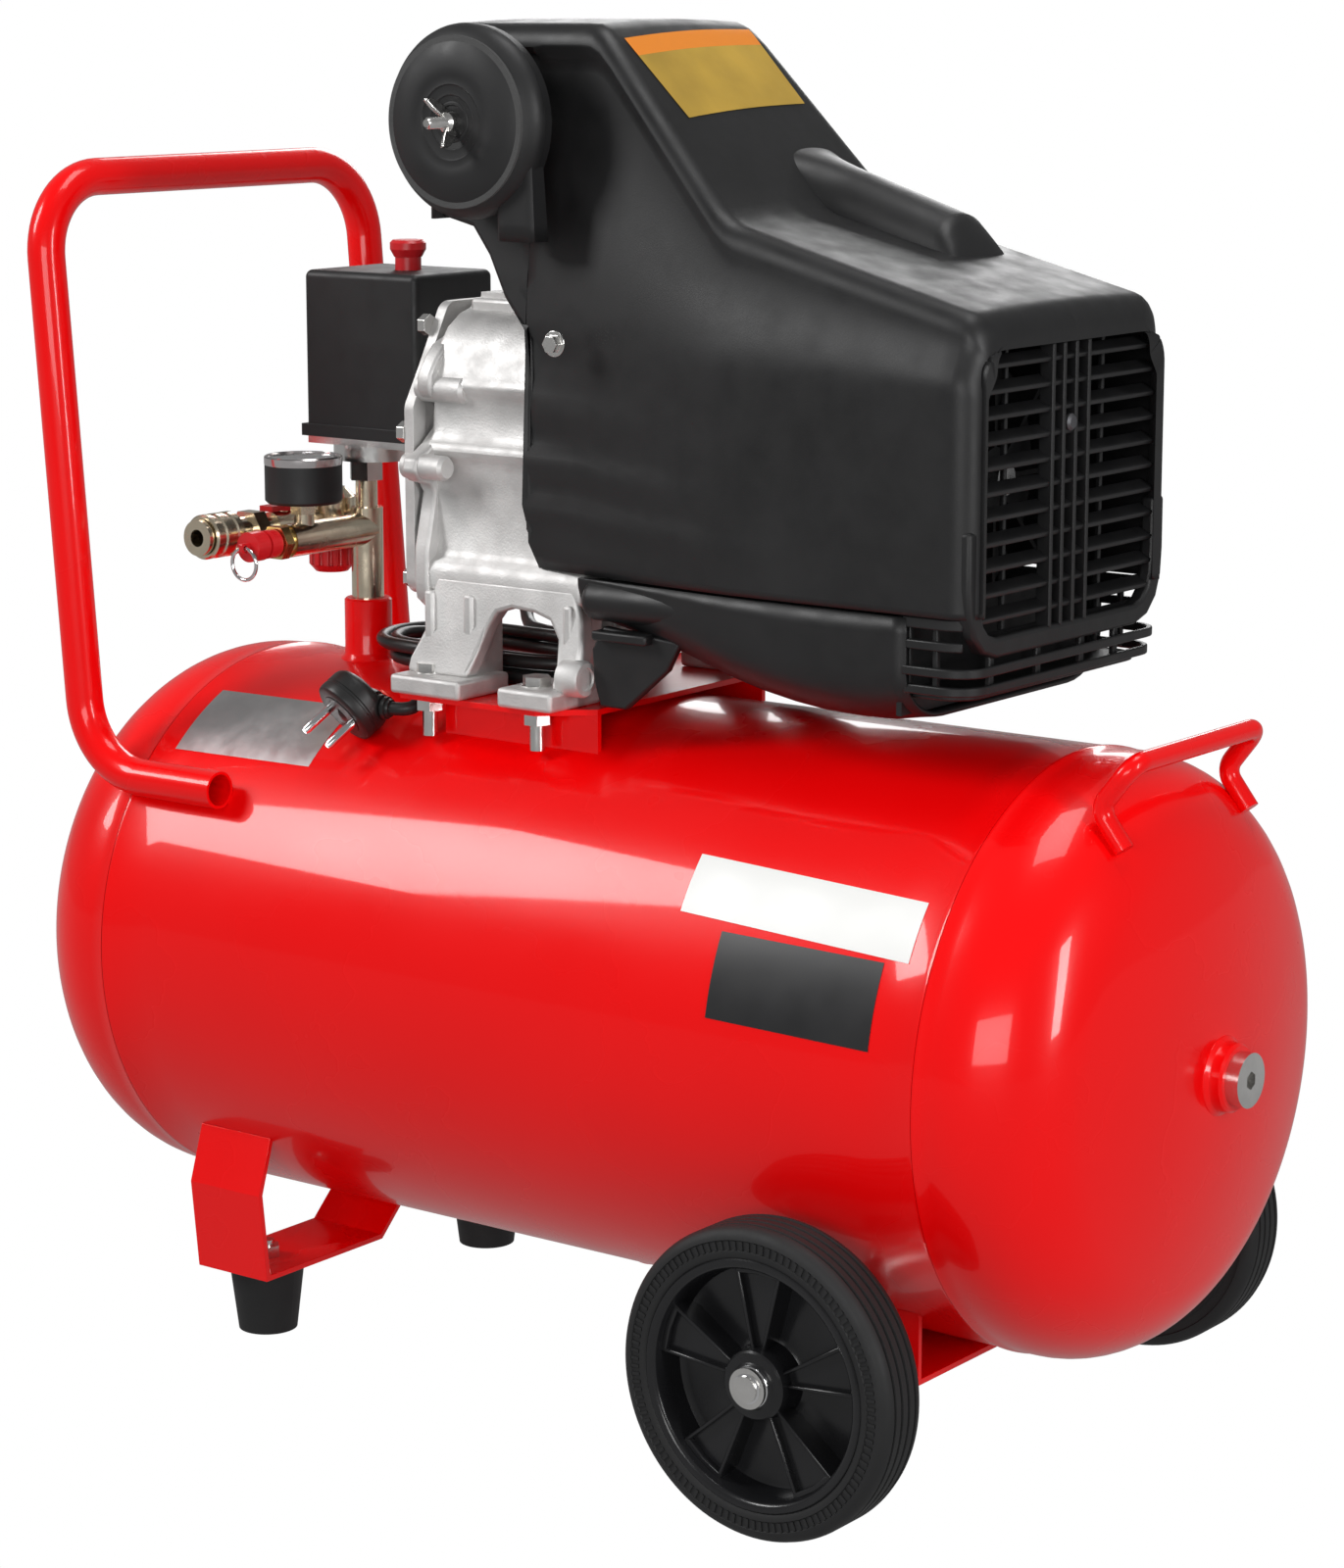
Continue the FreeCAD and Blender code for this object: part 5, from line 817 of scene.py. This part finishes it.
def label_on_slope(name, material, start, end):
    """A part of the blank sticker on the slope, between two shares of its height."""
    mesh = bmesh.new()
    bmesh.ops.create_grid(mesh, x_segments=10, y_segments=10, size=0.5)
    top_left, top_right, low_right, low_left = [Vector(corner) for corner in SLOPE_LABEL]
    for vertex in mesh.verts:
        across = vertex.co.x + 0.5
        down = start + (end - start) * (vertex.co.y + 0.5)
        place = top_left.lerp(top_right, across).lerp(low_left.lerp(low_right, across), down)
        flat = smooth_level(place.x, ROOF_SIDE) - CORNER
        crown = 1.5 * math.cos(min(1.0, abs(place.y) / flat) * math.pi / 2)
        vertex.co = spot(place.x, place.y, smooth_level(place.x, ROOF) + crown + 0.5)
    bmesh.ops.recalc_face_normals(mesh, faces=mesh.faces)
    finished(name, mesh, material)


label_on_slope("label_orange", ORANGE_LABEL, 0.0, 0.22)
label_on_slope("label_gold", GOLD_LABEL, 0.22, 1.0)


# --------------------------------------------------------------------- the lower tray

BELLY = [(12, 409), (60, 400), (110, 386), (150, 379), (190, 378), (214, 383)]
LATTICE_FROM = 212
LATTICE_ROWS = [(404.5, 409), (395.5, 400)]
SIDE_ROWS = [(427, 432.5), (417, 421.5)]


def tray_trough():
    """The closed belly of the tray, open at the top."""
    stations = [12, 13.5, 20, 34, 50, 66, 84, 102, 120, 138, 156, 174, 192, 206, 214]
    mesh = bmesh.new()
    bmesh.ops.create_grid(mesh, x_segments=len(stations) - 1, y_segments=40, size=0.5)
    for vertex in mesh.verts:
        row = round((vertex.co.x + 0.5) * (len(stations) - 1))
        x = stations[row]
        share = vertex.co.y * 2
        low = smooth_level(x, BELLY, 10)
        side = smooth_level(x, SIDE, 12) - 4
        turn = max(0.0, min(1.0, (abs(share) - 0.45) / 0.38))
        rise = max(0.0, (abs(share) - 0.83) / 0.17)
        y = min(abs(share) / 0.45, 1.0) * (side - 30) + 30 * math.sin(turn * math.pi / 2)
        z = low + 22 * (1 - math.cos(turn * math.pi / 2))
        z += (431.5 - z) * rise
        vertex.co = spot(x, math.copysign(y, share), z)
    bmesh.ops.recalc_face_normals(mesh, faces=mesh.faces)
    return mesh


def strip(mesh, path, low, high, thick):
    """A flat bar that stands on its edge along a path of (x, y) points."""
    rings = []
    for number, (x, y) in enumerate(path):
        off = square_off(path, number, thick)
        rings.append([mesh.verts.new(spot(x + off.x * side, y + off.y * side, z))
                      for side, z in ((-1, low), (1, low), (1, high), (-1, high))])
    joined(mesh, rings)


def frame_foot():
    """The rounded lower part of the frame round the end opening."""
    half = [(84.5, 474), (84.5, 448), (83.5, 436), (80, 426.5), (73.5, 420), (64, 417)]
    path = [(-y, z) for y, z in half] + half[::-1]
    mesh = bmesh.new()
    rings = []
    for number, (y, z) in enumerate(path):
        off = square_off(path, number, 10)
        rings.append([mesh.verts.new(spot(x, y + off.x * side, z + off.y * side))
                      for side, x in ((-1, SHROUD_END - 9), (1, SHROUD_END - 9),
                                      (1, SHROUD_END - 1),
                                      (-1, SHROUD_END - 1))])
    joined(mesh, rings)
    bmesh.ops.recalc_face_normals(mesh, faces=mesh.faces)
    return mesh


def lattice_path(near, far, inset=0.0):
    """The tray's outline in plan, round the machine's end from one side to the other."""
    side, end, bend = 88.5 - inset, 249 - inset, 15
    path = [(near, -side), (end - bend, -side)]
    for step in range(1, 8):
        turn = math.radians(90 * step / 8)
        path.append((end - bend + bend * math.sin(turn), -side + bend - bend * math.cos(turn)))
    path += [(end, -side + bend), (end, side - bend)]
    for step in range(1, 8):
        turn = math.radians(90 * step / 8)
        path.append((end - bend + bend * math.cos(turn), side - bend + bend * math.sin(turn)))
    return path + [(end - bend, side), (far, side)]


def make_tray():
    """The trough with its side rails, and the slotted end."""
    trough = finished("tray_trough", tray_trough(), SHROUD_BLACK, instead_of=["shroud_tray"],
                      smooth=60)
    walled(trough, SHROUD_WALL, 1)
    for side in (-1, 1):
        rail = [(0, 0)]
        rail += [(10.5 * math.sin(math.radians(15 * step)),
                  7 - 7 * math.cos(math.radians(15 * step)))
                 for step in range(1, 7)]
        rail += [(10.5, 60), (11, 120), (11.4, 166)]
        rail += [(11.4 * math.cos(math.radians(15 * step)),
                  166 + 8 * math.sin(math.radians(15 * step)))
                 for step in range(1, 7)]
        finished("tray_rail_%s" % ("far" if side > 0 else "near"),
                 turned(rail, (1, 0, 0), spot(14, side * 76, 421), 32), SHROUD_BLACK, smooth=50)
    lattice = bmesh.new()
    for number, (low, high) in enumerate(LATTICE_ROWS):
        strip(lattice, lattice_path(LATTICE_FROM, LATTICE_FROM, inset=1.6 * number), low, high, 3.0)
    for low, high in SIDE_ROWS:
        for side in (-1, 1):
            strip(lattice, [(LATTICE_FROM, side * 88), (236, side * 88), (243, side * 85)], low,
                  high, 3.0)
    for y in (-64, -22, 18, 50):
        box(lattice, (3, 4, 20), (244.5, y, 405))
    for x in (213, 228):
        for side in (-1, 1):
            box(lattice, (3, 3, 36), (x, side * 84.5, 414.5))
    bmesh.ops.recalc_face_normals(lattice, faces=lattice.faces)
    edged(finished("grille_frame_foot", frame_foot(), SHROUD_BLACK, smooth=50), 2.0, 3)
    edged(finished("tray_lattice", lattice, SHROUD_BLACK, smooth=30), 0.7)
    floor = bmesh.new()
    slab(floor, [spot(x, y, 392.5) for x, y in lattice_path(206, 206, inset=6)], (0, 0, 3.2))
    bmesh.ops.recalc_face_normals(floor, faces=floor.faces)
    edged(finished("tray_end_floor", floor, SHROUD_BLACK, smooth=50), 0.8)
    for side in (-1, 1):
        hook = bmesh.new()
        outline = [(24, 367), (20, 380), (19, 396), (26, 408), (74, 404), (66, 389), (40, 367)]
        slab(hook, [spot(x, side * 79, z) for x, z in outline], (0, -side * 5, 0))
        box(hook, (34, 14, 5), (40, side * 78, 404))
        bmesh.ops.recalc_face_normals(hook, faces=hook.faces)
        edged(finished("tray_hook_%s" % ("far" if side > 0 else "near"), hook, SHROUD_BLACK), 1.2)
    wall = bmesh.new()
    box(wall, (3, 168, 48), (207, 0, 407))
    finished("tray_end_wall", wall, SHROUD_BLACK)


make_tray()


GAUGE = (-198, -51, 450.5)


def make_gauge_ring():
    """The pale ring that holds the gauge's lens."""
    ring = [(19.2, 20.6), (20.8, 20.6), (21.0, 21.2), (21.0, 24.6), (20.3, 25.4), (19.4, 25.4),
            (19.2, 25.0)]
    finished("gauge_ring", turned(ring, (0, 0, 1), spot(*GAUGE), 64, closed=True), PALE_RING,
             smooth=40)
    plate = [(0, 18.3), (19.2, 18.3), (19.2, 18.7), (0, 18.7)]
    finished("gauge_dial", turned(plate, (0, 0, 1), spot(*GAUGE), 64), DIAL, smooth=30)
    ticks = bmesh.new()
    for number in range(25):
        long = 3.4 if number % 4 == 0 else 1.9
        tick = bmesh.ops.create_cube(ticks, size=1.0)
        bmesh.ops.scale(ticks, verts=tick["verts"], vec=(long * MM, 0.4 * MM, 0.2 * MM))
        bmesh.ops.translate(ticks, verts=tick["verts"], vec=((17.6 - long / 2) * MM, 0, 0))
        turn = Matrix.Rotation(math.radians(-45 + 270 * number / 24), 3, "Z")
        bmesh.ops.rotate(ticks, verts=tick["verts"], matrix=turn)
        bmesh.ops.translate(ticks, verts=tick["verts"],
                            vec=spot(GAUGE[0], GAUGE[1], GAUGE[2] + 18.8))
    finished("gauge_ticks", ticks, SOFT_BLACK)


make_gauge_ring()


# ------------------------------------------------------------------- the filter

FILTER = (-50, 656)
FILTER_RADIUS = 48.5
FILTER_BACK = -81
FILTER_FACE = -103


def make_filter():
    """The domed cover with its ringed face, the rim behind it, the spout and the wing nut."""
    centre = spot(FILTER[0], 0, FILTER[1])
    face = -FILTER_FACE
    dome = [(3.6, face - 2.2), (8, face - 2.2), (8.6, face - 1.6), (9.6, face - 1.6),
            (10.2, face - 2.0),
            (13, face - 1.6), (13.6, face - 1.1), (15, face - 1.2), (18, face - 0.9), (18.8,
                                                                                       face - 0.3),
            (20.4, face - 0.5), (22.8, face - 0.3)]
    for step in range(13):
        angle = math.radians(90 * step / 12)
        dome.append((24.5 + 24 * math.sin(angle), face - 14.5 + 14.5 * math.cos(angle)))
    dome += [(FILTER_RADIUS, face - 14.8), (FILTER_RADIUS - 1.6, face - 14.8), (40, face - 13.5)]
    finished("filter_dome", turned(dome, (0, -1, 0), centre, 112), SOFT_BLACK,
             instead_of=["filter_cover"],
             smooth=28)
    rim = [(6, -FILTER_BACK), (46.8, -FILTER_BACK), (47.8, -FILTER_BACK + 1),
           (48.2, -FILTER_BACK + 6.6),
           (47.2, -FILTER_BACK + 7.2), (6, -FILTER_BACK + 7.2)]
    finished("filter_rim", turned(rim, (0, -1, 0), centre, 112), SOFT_BLACK,
             instead_of=["filter_base"])

    spout = bmesh.new()
    bmesh.ops.create_grid(spout, x_segments=6, y_segments=28, size=0.5)
    for vertex in spout.verts:
        down, turn = vertex.co.x + 0.5, (vertex.co.y + 0.5) * math.tau
        wide, deep = 11.0 + 0.6 * down, 5.0 + 1.4 * down
        x = -19 + 2.5 * down + wide * max(-1.0, min(1.0, 1.35 * math.cos(turn)))
        y = -87.3 + deep * max(-1.0, min(1.0, 1.35 * math.sin(turn)))
        vertex.co = spot(x, y, 650 - 52 * down)
    bmesh.ops.remove_doubles(spout, verts=spout.verts, dist=1e-5)
    bmesh.ops.recalc_face_normals(spout, faces=spout.faces)
    walled(finished("filter_spout", spout, SOFT_BLACK, smooth=50), 1.4)

    nut = turned([(0, 100), (5.4, 100), (5.6, 101), (5.0, 106), (3.2, 107.2), (2.6, 107.4)],
                 (0, -1, 0), centre, 32)
    bolt = [(0, 98), (2.5, 98)]
    for turn in range(14):
        bolt += [(2.9, 107.2 + turn * 0.95), (2.45, 107.7 + turn * 0.95)]
    bolt += [(2.0, 121), (0, 121)]
    stud = turned(bolt, (0, -1, 0), centre, 24)
    wings = bmesh.new()
    for side in (-1, 1):
        grid = bmesh.ops.create_grid(wings, x_segments=10, y_segments=6, size=0.5)
        for vertex in grid["verts"]:
            reach, across = vertex.co.x + 0.5, vertex.co.y * 2
            out = side * (3.2 + 9.6 * reach)
            half = 2.2 + 3.2 * math.sin(math.pi * (0.12 + 0.74 * reach)) * (1 - 0.35 * reach ** 4)
            forward = 104.5 + 8.5 * reach ** 1.4 + across * half * (1 - 0.15 * reach)
            turn = math.radians(-25)
            vertex.co = spot(FILTER[0] + out * math.sin(turn), -forward,
                             FILTER[1] + out * math.cos(turn))
    walled(finished("wing_plates", wings, ZINC, "wing_bolt", smooth=60), 2.0, 0)
    finished("wing_nut", nut, ZINC, "wing_bolt", ["filter_wing_bolt"], smooth=40)
    finished("wing_stud", stud, ZINC, "wing_bolt", smooth=25)


make_filter()


# ---------------------------------------------------------------- the crankcase

CASE_FRONT = -94
CASE_BACK = 10
CASE_PROFILE = [(58, 412), (71, 413), (76.5, 417), (77, 426), (75, 431), (71.5, 433), (69.5, 437),
                (69, 478),
                (70.5, 484), (73, 488), (73, 490.5), (70, 493), (67.5, 497), (66.5, 512), (68.5,
                                                                                           517),
                (71, 520.5),
                (71, 523), (68.5, 525.5), (66, 531), (62, 541), (55, 550), (45, 556.5), (34,
                                                                                         560),
                (0, 562)]
FLANGE_PROFILE = [(55, 404), (70, 405.5), (77, 411), (78.5, 420), (78, 437), (73.5, 455), (71, 466),
                  (74, 470.5),
                  (83, 473), (87.5, 478), (86, 484.5), (77, 488), (72, 491), (61, 500), (57,
                                                                                         507),
                  (62, 513),
                  (72, 515), (75, 519), (74, 527), (68.5, 535), (62, 541.5), (52, 545.5), (40,
                                                                                           548),
                  (33, 552),
                  (31, 559), (26, 563), (19, 563), (14, 559), (12, 552), (0, 551)]


CASE_BOSSES = [(-90, 26, 549, 7.5, 26), (-92, 66, 519, 7, 22), (-92, 79, 480, 6.5, 18)]


def extruded_profile(profile, start, end):
    """A symmetrical outline of (side, height), drawn along the machine."""
    mesh = bmesh.new()
    ring = profile + [(-side, high) for side, high in profile[::-1] if side > 0.01]
    slab(mesh, [spot(start, side, high) for side, high in ring], (end - start, 0, 0))
    bmesh.ops.recalc_face_normals(mesh, faces=mesh.faces)
    return mesh


def make_crankcase():
    """The cast case: body, front flange, deck, feet and screw bosses."""
    body = extruded_profile(CASE_PROFILE, CASE_FRONT, CASE_BACK)
    edged(finished("crankcase_body", body, CAST, instead_of=["crankcase"], smooth=50), 2.2, 3, 50)
    flange = extruded_profile(FLANGE_PROFILE, CASE_FRONT - 4, CASE_FRONT + 5)
    edged(finished("crankcase_flange", flange, CAST, smooth=50), 1.6, 3, 50)
    deck = bmesh.new()
    box(deck, (80, 80, 8), (-50, 0, 560))
    edged(finished("crankcase_deck", deck, CAST), 2.0)
    for side in (-1, 1):
        make_foot_casting(side)
        for start, reach, high, radius, long in CASE_BOSSES:
            boss = turned([(0, -9), (radius, -9), (radius, long - 2), (radius - 1.5, long),
                           (0, long)], (1, 0, 0),
                          spot(start, side * reach, high), 28)
            finished("case_boss_%d_%s" % (high, "far" if side > 0 else "near"), boss, CAST)


def make_foot_casting(side):
    """One side's pair of feet: flared legs, an arch between them and the bolted pads."""
    mesh = bmesh.new()
    outline = [(-97, 374), (-97, 381), (-91, 396), (-88, 412), (-84, 424), (6, 424), (10, 412),
               (13, 396),
               (13, 374), (-2, 374), (-2, 384), (-4, 398), (-10, 407), (-20, 410), (-34, 411), (-44, 408),
               (-50, 400), (-54, 388), (-57, 374)]
    slab(mesh, [spot(x, side * 66, z) for x, z in outline], (0, side * 11, 0))
    for vertex in mesh.verts:
        low = max(0.0, (412 - vertex.co.z / MM) / 38)
        vertex.co.y += side * 10 * low * low * MM
    bmesh.ops.recalc_face_normals(mesh, faces=mesh.faces)
    name = "far" if side > 0 else "near"
    edged(finished("foot_web_" + name, mesh, CAST, smooth=50), 2.4, 3, 40)
    pads = bmesh.new()
    for start, end in ((-98, -52), (-27, 8)):
        box(pads, (end - start, 42, 10), ((start + end) / 2, side * 78, 369.2))
    edged(finished("foot_pads_" + name, pads, CAST), 2.0, 3)
    inner = bmesh.new()
    for x in (-88, -62, 3):
        box(inner, (6, 26, 46), (x, side * 66, 393))
    edged(finished("foot_ribs_" + name, inner, CAST), 1.6)
    plug = [(0, 0), (9.4, 0), (9.4, 12), (8.4, 13.4), (6, 13.6), (5.6, 12.4), (0, 12.4)]
    finished("foot_boss_" + name, turned(plug, (1, 0, 0), spot(4.5, side * 82, 380.5), 32), CAST,
             smooth=40)


make_crankcase()


# ------------------------------------------------------ cast parts and the rest

softened("crankcase_cover", 1.4, CAST)
softened("cylinder_head", 1.4, CAST)
softened("switch_cover", 1.2, SOFT_BLACK)
softened("pump_base_plate", 0.6, RED)
softened("front_foot_bracket", 0.8, RED)
softened("axle_bracket", 0.8, RED)
softened("hex_bolts", 0.5, ZINC)
softened("case_screws", 0.5, ZINC)
softened("outlet_lever", 0.7, RED_PLASTIC)
softened("regulator_knob", 0.5, RED_PLASTIC)


# ----------------------------------------------------------- floor and lights

FLOOR_GLOW = 0.36     # what the floor and the room throw on the machine; the camera sees both white
ROOM_GLOW = 0.24
LAMPS = [     # name, place and aim in m, size in m, power in W
    ("key", (-2.4, -2.0, 2.4), (0, 0, 0.35), (0.9, 1.5), 66),
    ("side", (2.7, -0.5, 1.1), (0, 0, 0.3), (0.35, 1.3), 30),
    ("low", (1.2, -2.6, 0.9), (0, 0, 0.3), (1.6, 0.8), 26),
    ("top", (0.3, 0.2, 2.8), (0, 0, 0.4), (1.2, 0.9), 20),
    ("back", (-1.4, 2.4, 1.6), (0, 0, 0.4), (1.2, 1.2), 24),
]


def make_studio():
    """A white floor and room, and five soft lamps."""
    mesh = bmesh.new()
    bmesh.ops.create_grid(mesh, x_segments=1, y_segments=1, size=6)
    data = bpy.data.meshes.new("floor")
    mesh.to_mesh(data)
    mesh.free()
    pale = bpy.data.materials.new("pale_floor")
    pale.use_nodes = True
    nodes = pale.node_tree.nodes
    nodes.clear()
    shown = nodes.new("ShaderNodeEmission")
    shown.inputs["Strength"].default_value = 1.0
    thrown = nodes.new("ShaderNodeEmission")
    thrown.inputs["Strength"].default_value = FLOOR_GLOW
    path = nodes.new("ShaderNodeLightPath")
    either = nodes.new("ShaderNodeMixShader")
    end = nodes.new("ShaderNodeOutputMaterial")
    pale.node_tree.links.new(path.outputs["Is Camera Ray"], either.inputs["Fac"])
    pale.node_tree.links.new(thrown.outputs["Emission"], either.inputs[1])
    pale.node_tree.links.new(shown.outputs["Emission"], either.inputs[2])
    pale.node_tree.links.new(either.outputs["Shader"], end.inputs["Surface"])
    data.materials.append(pale)
    floor = bpy.data.objects.new("floor", data)
    bpy.context.scene.collection.objects.link(floor)

    world = bpy.data.worlds.new("studio")
    world.use_nodes = True
    tree = world.node_tree
    light = tree.nodes["Background"]
    light.inputs["Color"].default_value = (1, 1, 1, 1)
    light.inputs["Strength"].default_value = ROOM_GLOW
    backdrop = tree.nodes.new("ShaderNodeBackground")
    backdrop.inputs["Color"].default_value = (1, 1, 1, 1)
    backdrop.inputs["Strength"].default_value = 1.0
    seen = tree.nodes.new("ShaderNodeLightPath")
    mix = tree.nodes.new("ShaderNodeMixShader")
    tree.links.new(seen.outputs["Is Camera Ray"], mix.inputs["Fac"])
    tree.links.new(light.outputs["Background"], mix.inputs[1])
    tree.links.new(backdrop.outputs["Background"], mix.inputs[2])
    tree.links.new(mix.outputs["Shader"], tree.nodes["World Output"].inputs["Surface"])
    bpy.context.scene.world = world
    bpy.context.scene.view_settings.view_transform = "Standard"

    for name, place, aim, size, power in LAMPS:
        lamp = bpy.data.lights.new(name, "AREA")
        lamp.shape = "RECTANGLE"
        lamp.size, lamp.size_y = size
        lamp.energy = power
        thing = bpy.data.objects.new(name, lamp)
        thing.location = place
        thing.rotation_euler = (Vector(place) - Vector(aim)).to_track_quat("Z", "Y").to_euler()
        bpy.context.scene.collection.objects.link(thing)


make_studio()
